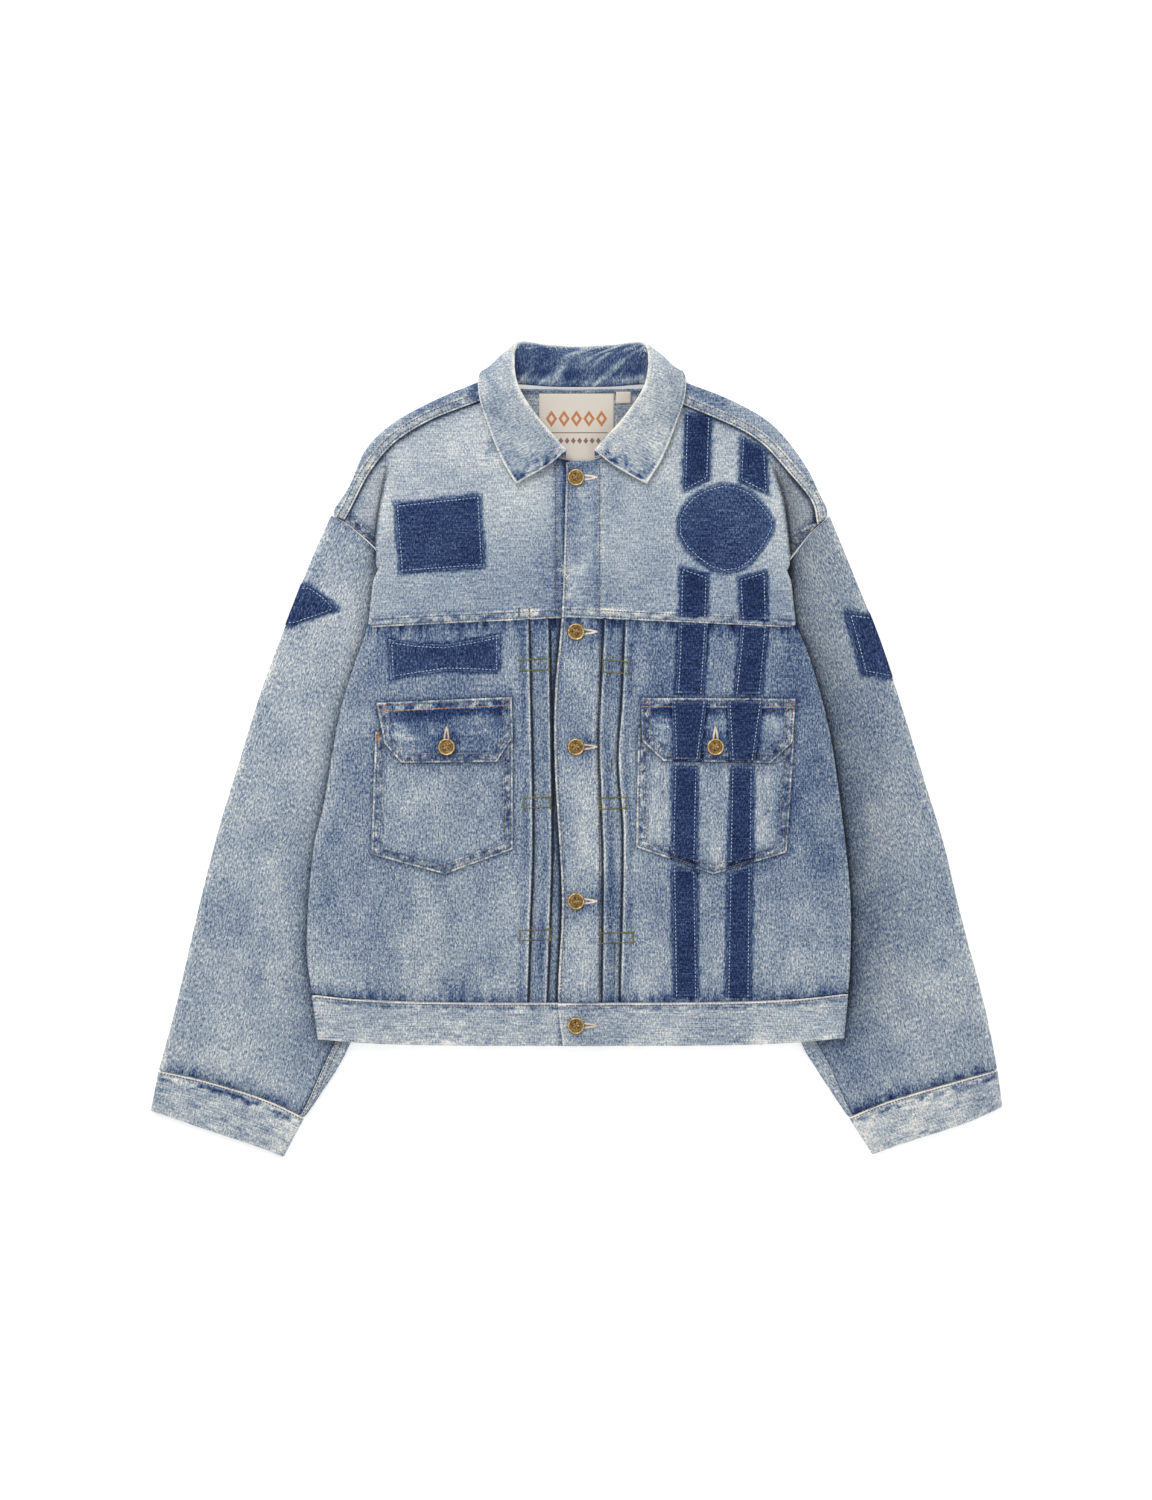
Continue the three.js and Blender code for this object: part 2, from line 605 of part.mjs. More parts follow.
function pocketPieces() {
  const right = onFront("right_pocket", looks.denim, [[-200, 18], [-63, 20]],
    [[-204, -104], [-131, -124], [-63, -99]], ON_PANEL, 6, 8, CLOTH);
  const left = onFront("left_pocket", looks.denim, [[62, 22], [218, 18]],
    [[60, -97], [137, -124], [210, -102]], ON_PANEL, 6, 8, CLOTH);
  const rightFlap = onFront("right_pocket_flap", looks.denim, [[-199, 47], [-64, 53]],
    [[-191, 7], [-174, -13], [-79, -12], [-63, 13]], ON_POCKET, 3, 8, CLOTH);
  const leftFlap = onFront("left_pocket_flap", looks.denim, [[65, 52], [219, 51]],
    [[66, 9], [87, -11], [194, -13], [216, 8]], ON_POCKET, 3, 8, CLOTH);
  return [right, left, rightFlap, leftFlap];
}

function patches() {
  const strip = (name, top, bottom, layer) =>
    onFront(name, looks.patch, top, bottom, layer + PATCH_STEP, 3, 3, PATCH);
  return [
    onFront("patch_rectangle", looks.patch, [[-181.5, 246], [-95, 255.5]], [[-176, 175.5], [-91, 182]],
      PATCH_STEP, 4, 5, PATCH),
    onFront("patch_waisted", looks.patch,
      [[-187, 110.5], [-160, 106.5], [-132, 105], [-105, 109.5], [-76, 115.5]],
      [[-185, 70], [-157, 74.5], [-129, 78.5], [-103, 78], [-76, 76.5]], PATCH_STEP, 3, 6, PATCH),
    onFront("patch_barrel", looks.patch,
      [[101, 231], [106, 243], [116, 254], [130, 262], [146, 266], [160, 265], [174, 259], [187, 246],
        [198, 230]],
      [[101, 215], [108, 202], [120, 190], [134, 180], [148, 176], [162, 178], [175, 186], [187, 200],
        [198, 220]],
      PATCH_STEP, 6, 12, PATCH),
    strip("strip_shoulder_inner", [[108.5, 337], [135.5, 331]], [[106.5, 258], [133.5, 269]], 0),
    strip("strip_shoulder_outer", [[164.5, 313], [190.5, 298]], [[162.5, 267], [192.5, 255]], 0),
    strip("strip_yoke_inner", [[103.5, 183], [132.5, 175]], [[102.5, 134], [131.5, 133]], 0),
    strip("strip_yoke_outer", [[161.5, 172], [190.5, 179]], [[163.5, 131], [191.5, 130]], 0),
    strip("strip_front_inner", [[102.5, 127], [131.5, 126]], [[99.5, 57], [127.5, 56]], 0),
    strip("strip_front_outer", [[164.5, 124], [191.5, 123]], [[157.5, 56], [185.5, 56]], 0),
    strip("strip_flap_inner", [[95.5, 48], [130.5, 48]], [[97.5, -9], [123.5, -9]], ON_POCKET),
    strip("strip_flap_outer", [[150.5, 48], [186.5, 48]], [[153.5, -10], [178.5, -10]], ON_POCKET),
    strip("strip_pocket_inner", [[96.5, -17], [122.5, -17]], [[94.5, -103], [120.5, -111]], ON_PANEL),
    strip("strip_pocket_outer", [[153.5, -17], [177.5, -17]], [[151.5, -112], [176.5, -107]], ON_PANEL),
    strip("strip_hem_inner", [[95.5, -116], [120.5, -122]], [[97.5, -246], [122.5, -246]], 0),
    strip("strip_hem_outer", [[151.5, -124], [175.5, -119]], [[149.5, -246], [174.5, -246]], 0),
  ];
}

// Patches on the sleeves run round the outer edge a little way.
function sleevePatches() {
  // reach is how far over the top, skew how far up the sleeve a millimetre of reach brings the edge
  const cover = (name, side, reach, from, to, skew) => {
    const quarter = (SLEEVE_RADIUS * Math.PI) / 2;
    return wall(name, looks.patch, 4, 6, PATCH, (u, v, j) => {
      const round = [-0.3 * quarter, 0.1 * quarter, quarter / 2, quarter];
      const s = j < round.length ? round[j] : mix(quarter, quarter + reach(v), (j - 3) / 3);
      return sleevePoint(side, s, mix(from, to, v) - skew * Math.max(s - quarter, 0), PATCH_STEP + GAP);
    });
  };
  const leafReach = (v) => 2 + 36 * (1 - Math.abs(2 * v - 1) ** 1.25);
  return [
    cover("patch_sleeve_leaf", "right", leafReach, 0.13, 0.206, 0.0008),
    cover("patch_sleeve_rectangle", "left", (v) => mix(19, 25, v), 0.182, 0.3, 0.0014),
  ];
}

function neckLabels() {
  const plain = (name, x0, x1, y0, y1, rows, columns) =>
    wall(name, looks.ecru, rows, columns, PATCH, (u, v) => {
      const [x, y] = [mix(x0, x1, u), mix(y0, y1, v)];
      return new THREE.Vector3(x, y, backHeight(sideName(x), Math.abs(x), y) + PATCH_STEP);
    });
  return [
    plain("neck_label", -37, 38, 287, 356, 5, 2),
    plain("size_tag", 40, 55, 346, 358, 2, 1),
  ];
}

// ---- buttons

// A dished metal cap with a raised rim, a ring and a centre boss.
function button(name, x, y, z) {
  const profile = [[0, 0], [6.4, 0], [8.2, 0.7], [BUTTON_RADIUS, 1.6], [8.2, 2.6], [7.2, 2.9],
    [6.2, 2.4], [3.4, 2.3], [2.8, 2.9], [0, 3.1]];
  const geometry = new THREE.LatheGeometry(profile.map(([r, h]) => new THREE.Vector2(r, h)), 16);
  const mesh = new THREE.Mesh(geometry, looks.brass);
  mesh.name = name;
  mesh.rotation.x = Math.PI / 2;
  mesh.position.set(x, y, z);
  return mesh;
}

function buttons() {
  const clearance = CLOTH / 2 + GAP;
  const front = BUTTON_HEIGHTS.map((y, k) => {
    const onBand = k === BUTTON_HEIGHTS.length - 1 ? 2 * (BAND - CLOTH) + 0.3 : 0;
    const z = frontHeight("left", BUTTON_LINE, y) + clearance + onBand;
    return button("front_button_" + (k + 1), BUTTON_LINE, y, z);
  });
  const pocket = ["right", "left"].map((side) => {
    const out = FLAP_BUTTON_OUT[side];
    const z = frontHeight(side, out, FLAP_BUTTON_HEIGHT) + ON_POCKET + clearance + 0.9;
    return button(side + "_pocket_button", sideSign[side] * out, FLAP_BUTTON_HEIGHT, z);
  });
  return [...front, ...pocket];
}

const jacket = new THREE.Group();
jacket.add(backPanel(), collar(), waistbandBack());
for (const side of ["right", "left"]) {
  jacket.add(frontYoke(side), frontPanel(side), waistbandFront(side));
  jacket.add(sleeveTop(side), sleeveUnder(side), cuff(side));
}
jacket.add(...pocketPieces(), ...patches(), ...sleevePatches(), ...neckLabels(), ...buttons());

// The origin is the middle of the footprint, on the surface the jacket lies on.
const extent = new THREE.Box3().setFromObject(jacket);
const middle = extent.getCenter(new THREE.Vector3());
jacket.position.set(-middle.x, -middle.y, -extent.min.z);

export default jacket;
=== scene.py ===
import math

import bpy
import numpy as np
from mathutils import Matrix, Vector
from mathutils.bvhtree import BVHTree


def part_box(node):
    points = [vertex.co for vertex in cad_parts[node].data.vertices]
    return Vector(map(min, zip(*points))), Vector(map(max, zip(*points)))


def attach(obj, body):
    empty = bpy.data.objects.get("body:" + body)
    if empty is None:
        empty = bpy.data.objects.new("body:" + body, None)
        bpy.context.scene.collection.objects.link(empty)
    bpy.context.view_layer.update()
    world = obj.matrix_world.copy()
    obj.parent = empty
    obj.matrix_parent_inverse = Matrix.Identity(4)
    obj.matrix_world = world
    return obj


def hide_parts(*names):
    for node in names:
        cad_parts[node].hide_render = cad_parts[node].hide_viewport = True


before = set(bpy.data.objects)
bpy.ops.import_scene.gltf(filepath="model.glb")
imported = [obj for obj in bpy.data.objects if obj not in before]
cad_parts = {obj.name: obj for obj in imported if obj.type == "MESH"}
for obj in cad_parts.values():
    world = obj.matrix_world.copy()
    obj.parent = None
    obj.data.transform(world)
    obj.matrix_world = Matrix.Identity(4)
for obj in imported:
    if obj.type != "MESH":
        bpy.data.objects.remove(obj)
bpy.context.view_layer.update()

jacket = {
    "wall": 1.15, "band": 2.2, "collarWall": 2.0, "patchWall": 0.6,
    "sleeve": 480, "cuff": 42, "cuffWidth": 150, "collar": 400, "fall": 62, "bandLine": -265.0,
    "grid": 2.75, "edgeGrid": 0.95, "edgeMargin": 12.0,
    "camera": 4.0,  # metres above the jacket
}

topButton = [0.0, 272.0]  # where its middle is in this script; the box of its solid gives the shift


def middleOf(node):  # of a solid's box, in millimetres
    low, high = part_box(node)
    return np.array([(low.x + high.x) * 500, (low.y + high.y) * 500])


shift = np.append(middleOf("front_button_1") - topButton, 0.0)


def inMetres(points):
    return (np.asarray(points, float) + shift) / 1000


# ---- small tools

def mix(a, b, t):
    return a + (b - a) * t


def clamp01(t):
    return np.clip(t, 0.0, 1.0)


def smooth(t):
    t = clamp01(t)
    return t * t * (3 - 2 * t)


def hump(t):  # 1 at 0, down to 0 at -1 and 1
    return smooth(1 - np.abs(t))


def bell(t):  # 1 at 0, dying away on both sides
    return np.exp(-t ** 2)


def trail(distance, reach):  # 1 up to 0, dying away beyond it
    return np.exp(-np.maximum(distance, 0) / reach)


def joined(*parts):
    return np.stack(np.broadcast_arrays(*parts), -1)


def named(side, what):
    word = "left" if side > 0 else "right"
    return f"{what}_{word}" if what == "waistband" else f"{word}_{what}"


def softNoise(seed, across, along=None):
    # seeded soft noise from -1 to 1, with cells of the given size
    along = along or across
    table = np.random.default_rng(seed).random((128, 128)) * 2 - 1

    def ask(x, y):
        gx, gy = np.asarray(x) / across + 731.3, np.asarray(y) / along + 517.7
        ix, iy = np.floor(gx).astype(int), np.floor(gy).astype(int)
        fx, fy = smooth(gx - ix), smooth(gy - iy)
        a, b = table[ix % 128, iy % 128], table[(ix + 1) % 128, iy % 128]
        c, d = table[ix % 128, (iy + 1) % 128], table[(ix + 1) % 128, (iy + 1) % 128]
        return mix(mix(a, b, fx), mix(c, d, fx), fy)
    return ask


def through(*pairs):
    # a smooth function through (at, value) pairs, level beyond its ends
    table = np.array(sorted(pairs), float)
    at, value = table[:, 0], table[:, 1]
    before = np.maximum(np.arange(len(at)) - 1, 0)
    after = np.minimum(np.arange(len(at)) + 1, len(at) - 1)
    slope = (value[after] - value[before]) / (at[after] - at[before])

    def ask(x):
        x = np.clip(x, at[0], at[-1])
        i = np.clip(np.searchsorted(at, x, "right") - 1, 0, len(at) - 2)
        h = at[i + 1] - at[i]
        t = (x - at[i]) / h
        start = value[i] * (1 + 2 * t) * (1 - t) ** 2 + slope[i] * h * t * (1 - t) ** 2
        return start + value[i + 1] * t * t * (3 - 2 * t) + slope[i + 1] * h * t * t * (t - 1)
    return ask


def sampled(points):
    # a path asked for by its share of the length, running on straight past its ends
    points = np.asarray(points, float)
    steps = np.linalg.norm(np.diff(points, axis=0), axis=1)
    at = np.concatenate([[0], np.cumsum(steps)])
    first = (points[1] - points[0]) / steps[0]
    last = (points[-1] - points[-2]) / steps[-1]

    def ask(t):
        far = np.asarray(t, float) * at[-1]
        place = np.stack([np.interp(far, at, points[:, k]) for k in range(points.shape[1])], -1)
        before, past = np.minimum(far, 0)[..., None], np.maximum(far - at[-1], 0)[..., None]
        return place + first * before + last * past
    ask.length = at[-1]
    return ask


def roundSpline(points, t, i):
    # centripetal spline between points i and i + 1; each point may be an array of places
    count = len(points)
    b, c = points[i], points[i + 1]
    a = points[i - 1] if i > 0 else 2 * b - c
    d = points[i + 2] if i + 2 < count else 2 * c - b

    def root(p, q):
        return np.maximum(np.linalg.norm(q - p, axis=-1, keepdims=True), 1e-6) ** 0.5
    ab, bc, cd = root(a, b), root(b, c), root(c, d)
    out = ((b - a) / ab - (c - a) / (ab + bc) + (c - b) / bc) * bc
    into = ((c - b) / bc - (d - b) / (bc + cd) + (d - c) / cd) * bc
    return (b * (2 * t ** 3 - 3 * t ** 2 + 1) + out * (t ** 3 - 2 * t ** 2 + t)
            + c * (3 * t ** 2 - 2 * t ** 3) + into * (t ** 3 - t ** 2))


def curve(points):
    points = [np.asarray(p, float) for p in points]
    local = np.linspace(0, 1, 40)[:, None]
    parts = [roundSpline(points, local[:-1], i) for i in range(len(points) - 1)]
    return sampled(np.concatenate([*parts, points[-1][None]]))


def span(lowCurve, highCurve, nearCurve, farCurve):
    # the sheet that four curves span: low and high run along u, near and far along v
    a, b, c, d = lowCurve(0.0), lowCurve(1.0), highCurve(0.0), highCurve(1.0)

    def ask(u, v):
        u, v = np.broadcast_arrays(np.asarray(u, float), np.asarray(v, float))
        uu, vv = u[..., None], v[..., None]
        across = mix(lowCurve(u), highCurve(u), vv)
        along = mix(nearCurve(v), farCurve(v), uu)
        return across + along - mix(mix(a, b, uu), mix(c, d, uu), vv)
    return ask


def steps(length, middle=None, border=None, margin=None):
    # shares from 0 to 1 along a length, closer together near both ends
    middle, border = middle or jacket["grid"], border or jacket["edgeGrid"]
    margin = margin or jacket["edgeMargin"]
    s = np.linspace(0, length, 2000)
    toEnd = np.minimum(s, length - s)
    spacing = mix(border, middle, smooth((toEnd - margin * 0.6) / margin))
    count = np.concatenate([[0], np.cumsum(np.diff(s) / (spacing[1:] * 0.5 + spacing[:-1] * 0.5))])
    whole = max(2, int(round(count[-1])))
    return np.interp(np.linspace(0, count[-1], whole + 1), count, s) / length


def distanceTo(points, x, y, closed=True):
    # how far each place is from an outline
    points = [np.asarray(p, float)[:2] for p in points]
    pairs = list(zip(points, points[1:] + points[:1])) if closed else list(zip(points, points[1:]))
    best = np.full(np.shape(x), 1e9)
    for a, b in pairs:
        run = b - a
        t = clamp01(((x - a[0]) * run[0] + (y - a[1]) * run[1]) / max(run @ run, 1e-9))
        best = np.minimum(best, np.hypot(x - a[0] - t * run[0], y - a[1] - t * run[1]))
    return best


def inside(points, x, y):
    points = [np.asarray(p, float)[:2] for p in points]
    odd = np.zeros(np.shape(x), bool)
    for a, b in zip(points, points[1:] + points[:1]):
        crosses = (a[1] > y) != (b[1] > y)
        at = a[0] + (y - a[1]) / (b[1] - a[1] if b[1] != a[1] else 1e-9) * (b[0] - a[0])
        odd ^= crosses & (x < at)
    return odd


def signedInside(points, x, y):  # positive within the outline
    return np.where(inside(points, x, y), 1, -1) * distanceTo(points, x, y)


def shrunk(points, by, closed=True):
    # an outline moved in by a distance, to the left of the way it runs, with its corners kept
    p = [np.asarray(q, float)[:2] for q in points]
    count = len(p)
    made = []
    for i in range(count):
        before = p[i] - p[i - 1] if (i or closed) else p[1] - p[0]
        after = p[(i + 1) % count] - p[i] if (i < count - 1 or closed) else p[-1] - p[-2]
        n1 = np.array([-before[1], before[0]]) / np.linalg.norm(before)
        n2 = np.array([-after[1], after[0]]) / np.linalg.norm(after)
        bisector = n1 + n2
        made.append(p[i] + bisector * by * 2 / max(bisector @ bisector, 0.5))
    return made


def turned(s, radius, lift=0.0, wall=1.5):
    # where cloth turned round a folded edge lies; s runs along the cloth, positive on the upper layer
    quarter = radius * math.pi / 2
    angle = np.clip(s, -quarter, quarter) / radius
    reach = radius + lift
    inset = wall / 2 + radius - reach * np.cos(angle) + np.maximum(np.abs(s) - quarter, 0)
    return inset, radius + reach * np.sin(angle)


# ---- lines of the garment, as (height, out) or (out, height)

bodyEdge = {
    -1: through((280, 188), (237, 196), (202, 200), (138, 206), (114, 211), (89, 220), (36, 236),
                (-55, 252), (-98, 262), (-195, 269), (-242, 264), (-289, 258)),
    1: through((290, 193), (251, 206), (192, 214), (131, 219), (93, 233), (24, 252), (-60, 265),
               (-147, 274), (-205, 274), (-240, 272), (-284, 268)),
}
sleeveInner = {
    -1: [(146, 104), (160, 0), (186, -140), (225, -292), (257, -347), (271, -367)],
    1: [(156, 100), (169, 0), (192, -140), (225, -292), (241, -320), (272, -367)],
}
sleeveOuter = {
    -1: [(244, 236), (263, 194), (291, 123), (315, 58), (338, -16), (357, -78), (373, -140),
         (400, -256), (417, -320)],
    1: [(253, 235), (276, 179), (302, 114), (325, 45), (349, -33), (367, -92), (383, -159),
        (410, -263), (421, -319)],
}
armhole = {
    -1: [(244, 236), (231, 229), (215, 216), (200, 202), (178, 170), (158, 136), (146, 104)],
    1: [(253, 235), (236, 220), (214, 192), (190, 165), (169, 133), (156, 100)],
}
cuffSeam = {
    -1: [(417, -320), (375, -329), (310, -349), (271, -367)],
    1: [(421, -319), (386, -329), (308, -352), (272, -367)],
}
cuffHem = {
    -1: [(425, -360), (375, -377), (310, -399), (292, -406.5)],
    1: [(426, -356), (393, -371), (320, -395), (296, -404)],
}
shoulderFold = {
    -1: [(92, 370), (140, 350), (185, 325), (210, 300), (226, 264), (244, 237)],
    1: [(102, 370), (156, 349), (196, 325), (229, 284), (242, 258), (253, 236)],
}
shoulderSeam = {
    -1: [(92, 350), (146, 329), (181, 307), (205, 279), (226, 239), (231, 230)],
    1: [(102, 347), (168, 318), (189, 303), (210, 280), (236, 247), (241, 225)],
}
neckline = {
    -1: [(-12, 289), (12, 290), (36, 301), (58, 322), (70, 338), (78, 348), (104, 345)],
    1: [(-9, 287), (17, 289), (42, 301), (66, 322), (80, 338), (88, 346), (114, 342)],
}
frontEdge = {
    -1: through((290, -12), (-300, -12)),
    1: through((290, -10), (270, -10), (138, -14), (55, -21), (-20, -21), (-151, -14), (-251, -18),
               (-296, -13)),
}
pleatInner = {
    -1: through((132, 26), (-90, 23), (-170, 25), (-250, 28)),
    1: through((132, 27), (83, 25), (9, 22), (-110, 26), (-250, 25)),
}
pleatOuter = {
    -1: through((132, 46), (-90, 42), (-182, 45), (-250, 47)),
    1: through((132, 48), (54, 45), (-11, 41), (-83, 46), (-250, 43)),
}
aboveInner = {-1: [(290, 162), (202, 158)], 1: [(290, 172), (192, 168)]}
sleeveInnerAt = {
    side: through(*aboveInner[side], *((y, out) for out, y in sleeveInner[side])) for side in (-1, 1)
}


def yokeSeamAt(out):
    return 136.5 - 0.05 * out


def waistSeamAt(out):
    return -252.5 + 10 * (out / 270) ** 4


def hemAt(out):
    return -295.5 + 9 * (out / 270) ** 4


# ---- heights of the layers

layers = {
    "floor": 0.75, "headRadius": 1.9, "sleeveRadius": 2.55, "front": 5.75, "backRise": 7.0,
    "frontRise": 6.5, "sideRadius": 2.25, "shoulderRadius": 3.5, "riseWidth": 80, "riseMargin": 12,
    "overlap": 2.1, "pleat": 2.2, "return": 9, "neck": 2.4,
}

# soft troughs and ridges: out and height of both ends, half width, rise
frontCreases = {
    -1: [((60, 250), (20, 205), 9, 0.8), ((180, 262), (150, 150), 16, -0.9),
         ((215, 120), (225, -40), 10, 0.8), ((235, -150), (150, -235), 18, 0.8),
         ((205, -120), (150, -160), 10, -0.6),
         ((90, -150), (60, -240), 12, 0.7), ((120, -200), (110, -250), 8, -0.6),
         ((240, 20), (200, 80), 12, -0.7), ((55, 170), (120, 150), 9, 0.6)],
    1: [((55, 240), (25, 190), 10, 0.8), ((190, 270), (160, 150), 15, -0.8),
        ((225, 110), (240, -60), 10, 0.8), ((248, -130), (205, -235), 16, 0.9),
        ((200, -140), (215, -240), 9, -0.7),
        ((70, -160), (60, -245), 9, 0.8), ((235, 40), (205, 90), 12, -0.7), ((50, 150), (140, 165), 8, 0.5),
        ((140, -150), (135, -245), 7, 0.8)],
}


def creased(creases, out, y):
    rise = np.zeros(np.shape(out))
    for a, b, width, height in creases:
        a, b = np.array(a, float), np.array(b, float)
        run = b - a
        t = ((out - a[0]) * run[0] + (y - a[1]) * run[1]) / (run @ run)
        near = clamp01(t)
        away = np.hypot(out - a[0] - near * run[0], y - a[1] - near * run[1])
        rise = rise + height * bell(away / width) * smooth(np.minimum(near, 1 - near) * 3 + 0.25)
    return rise


def climb(side, out, y):
    rise = layers["riseWidth"]
    return smooth((out - sleeveInnerAt[side](y) + layers["riseMargin"] + rise) / rise)


def backHeight(side, out, y):
    onSleeve = climb(side, out, y) * smooth((180 - y) / 55)
    toNeck = smooth((y - 265) / 95) * smooth((115 - out) / 50)
    return layers["floor"] + layers["backRise"] * onSleeve + layers["neck"] * toNeck


def frontHeight(side, out, y):
    height = layers["front"] + layers["frontRise"] * climb(side, out, y) * smooth((292 - y) / 85)
    if side == 1:
        height += layers["overlap"] * smooth((45 - out) / 30)
    past = smooth((out - bodyEdge[side](y)) / 12)
    low = layers["floor"] + 2 * layers["headRadius"]
    byArm = mix(height, low, np.maximum(past, smooth((out - 195) / 35)))
    height = np.where(y > 196, byArm, height)
    return height + creased(frontCreases[side], out, y)


print("lines and heights ready")

# ---- camera, light and floor

sceneNow = bpy.context.scene
studio = {"floor": 0.97, "glow": 0.35, "sky": 0.66, "key": 44.0, "keySize": 1.3, "fill": 8.0}


def linked(name, data):
    added = bpy.data.objects.new(name, data)
    sceneNow.collection.objects.link(added)
    return added


def makeCamera():
    height = jacket["camera"]
    data = bpy.data.cameras.new("camera")
    data.lens = 24 * height  # the view is 1.5 m tall at the jacket
    data.clip_end = 20
    camera = linked("camera", data)
    camera.location = inMetres([0, 0, 1000 * height])
    sceneNow.camera = camera


def areaLight(name, place, size, power):
    data = bpy.data.lights.new(name, "AREA")
    data.shape = "SQUARE"
    data.size = size
    data.energy = power
    light = linked(name, data)
    light.location = place
    light.rotation_euler = (Vector((0, 0, 0)) - Vector(place)).to_track_quat("-Z", "Y").to_euler()


class Wire:
    # a shader socket that can be used in sums
    def __init__(self, graph, socket):
        self.graph, self.socket = graph, socket

    def made(self, kind, a, b=0.0, c=0.0):
        node = self.graph.node("ShaderNodeMath", {"operation": kind}, {0: a, 1: b, 2: c})
        return Wire(self.graph, node.outputs[0])

    def __add__(self, other):
        return self.made("ADD", self, other)

    def __radd__(self, other):
        return self.made("ADD", other, self)

    def __sub__(self, other):
        return self.made("SUBTRACT", self, other)

    def __rsub__(self, other):
        return self.made("SUBTRACT", other, self)

    def __mul__(self, other):
        return self.made("MULTIPLY", self, other)

    def __rmul__(self, other):
        return self.made("MULTIPLY", other, self)

    def __truediv__(self, other):
        return self.made("DIVIDE", self, other)

    def least(self, other):
        return self.made("MINIMUM", self, other)

    def over(self, level):
        return self.made("GREATER_THAN", self, level)

    def apart(self):
        return self.made("ABSOLUTE", self)

    def sine(self):
        return self.made("SINE", self)

    def part(self):
        return self.made("FRACT", self)


class Graph:
    # a material and the one way to add a node to it
    def __init__(self, name):
        self.material = bpy.data.materials.new(name)
        self.material.use_nodes = True
        self.tree = self.material.node_tree
        self.tree.nodes.clear()

    def node(self, kind, settings=None, sockets=None):
        node = self.tree.nodes.new(kind)
        for key, value in (settings or {}).items():
            if key == "stops":
                while len(node.color_ramp.elements) < len(value):
                    node.color_ramp.elements.new(0.5)
                for element, (at, colour) in zip(node.color_ramp.elements, value):
                    element.position, element.color = at, (*colour, 1)
            else:
                setattr(node, key, value)
        for key, value in (sockets or {}).items():
            if isinstance(value, Wire):
                self.tree.links.new(value.socket, node.inputs[key])
            else:
                node.inputs[key].default_value = value
        return node

    def wire(self, kind, settings=None, sockets=None, output=0):
        return Wire(self, self.node(kind, settings, sockets).outputs[output])

    def noise(self, place, scale, detail=2.0, rough=0.5):
        moved = self.wire("ShaderNodeVectorMath", {"operation": "MULTIPLY"}, {0: place, 1: scale})
        return self.wire("ShaderNodeTexNoise", {"noise_dimensions": "3D"},
                         {"Vector": moved, "Scale": 1.0, "Detail": detail, "Roughness": rough})

    def part(self, place, axis):
        return self.wire("ShaderNodeSeparateXYZ", None, {0: place}, axis)

    def ramp(self, stops, at):
        return self.wire("ShaderNodeValToRGB", {"stops": stops}, {"Fac": at})

    def bump(self, height, strength, distance):
        sockets = {"Height": height, "Strength": strength, "Distance": distance}
        return self.wire("ShaderNodeBump", None, sockets)

    def attribute(self, name):
        return self.wire("ShaderNodeAttribute", {"attribute_name": name}, None, "Fac")

    def onCloth(self):  # the place on the cloth in millimetres
        uv = self.wire("ShaderNodeUVMap", {"uv_map": "grain"})
        return self.wire("ShaderNodeVectorMath", {"operation": "SCALE"}, {0: uv, "Scale": 1000.0})

    def inSpace(self):
        return self.wire("ShaderNodeTexCoord", None, None, "Object")

    def surface(self, sockets):
        shader = self.wire("ShaderNodeBsdfPrincipled", None, sockets)
        self.node("ShaderNodeOutputMaterial", None, {"Surface": shader})
        return self.material


def linear(r, g, b):  # a screen colour, 0 to 255, as light
    return tuple((c / 255 / 12.92) if c < 10 else ((c / 255 + 0.055) / 1.055) ** 2.4 for c in (r, g, b))


def makeFloor():
    graph = Graph("pale floor")
    material = graph.surface({"Base Color": (*[studio["floor"]] * 3, 1), "Roughness": 0.9,
                              "Emission Color": (1, 1, 1, 1), "Emission Strength": studio["glow"]})
    mesh = bpy.data.meshes.new("floor")
    reach = 6.0
    mesh.from_pydata([(-reach, -reach, 0), (reach, -reach, 0), (reach, reach, 0), (-reach, reach, 0)], [],
                     [(0, 1, 2, 3)])
    mesh.materials.append(material)
    floor = linked("floor", mesh)


def makeStudio():
    world = bpy.data.worlds.new("studio")
    world.use_nodes = True
    background = world.node_tree.nodes["Background"]
    background.inputs["Color"].default_value = (1, 1, 1, 1)
    background.inputs["Strength"].default_value = studio["sky"]
    sceneNow.world = world
    sceneNow.view_settings.view_transform = "Standard"
    areaLight("key light", (-0.9, 1.9, 1.9), studio["keySize"], studio["key"])
    areaLight("fill light", (1.6, -0.6, 2.2), 1.2, studio["fill"])


makeCamera()
makeStudio()
makeFloor()


# ---- materials

# one dye at every stage of fading, from unwashed indigo to bare cotton
dyeStops = [
    (0.0, linear(14, 24, 52)), (0.2, linear(36, 54, 96)), (0.35, linear(62, 82, 118)),
    (0.5, linear(100, 117, 142)), (0.65, linear(140, 153, 168)), (0.8, linear(176, 184, 190)),
    (0.92, linear(204, 208, 209)), (1.0, linear(236, 233, 225)),
]

paintedShadeColour = linear(26, 31, 38)  # painted shade: the dark grey mixed into the cloth where creases, crevices and neighbouring pieces would shade it

# the name of each cloth, then how strongly its grain shows: speckle, slubs along the warp, streaks along
# the weft, clouds, and the relief of them all
grains = {
    "denim": ("washed denim", 1.85, 0.52, 0.14, 0.24, 0.7),
    "yoke": ("washed yoke denim", 1.45, 0.20, 0.46, 0.22, 0.6),
    "sleeve": ("washed sleeve denim", 1.85, 0.42, 0.10, 0.26, 0.7),
    "bands": ("worn band denim", 1.6, 0.16, 0.62, 0.30, 0.7),
    "collar": ("washed collar denim", 1.45, 0.50, 0.14, 0.34, 0.6),
    "patch": ("indigo patch cloth", 1.7, 0.08, 0.52, 0.16, 0.6),
    "patchUpright": ("indigo upright cloth", 1.7, 0.52, 0.08, 0.16, 0.6),
}


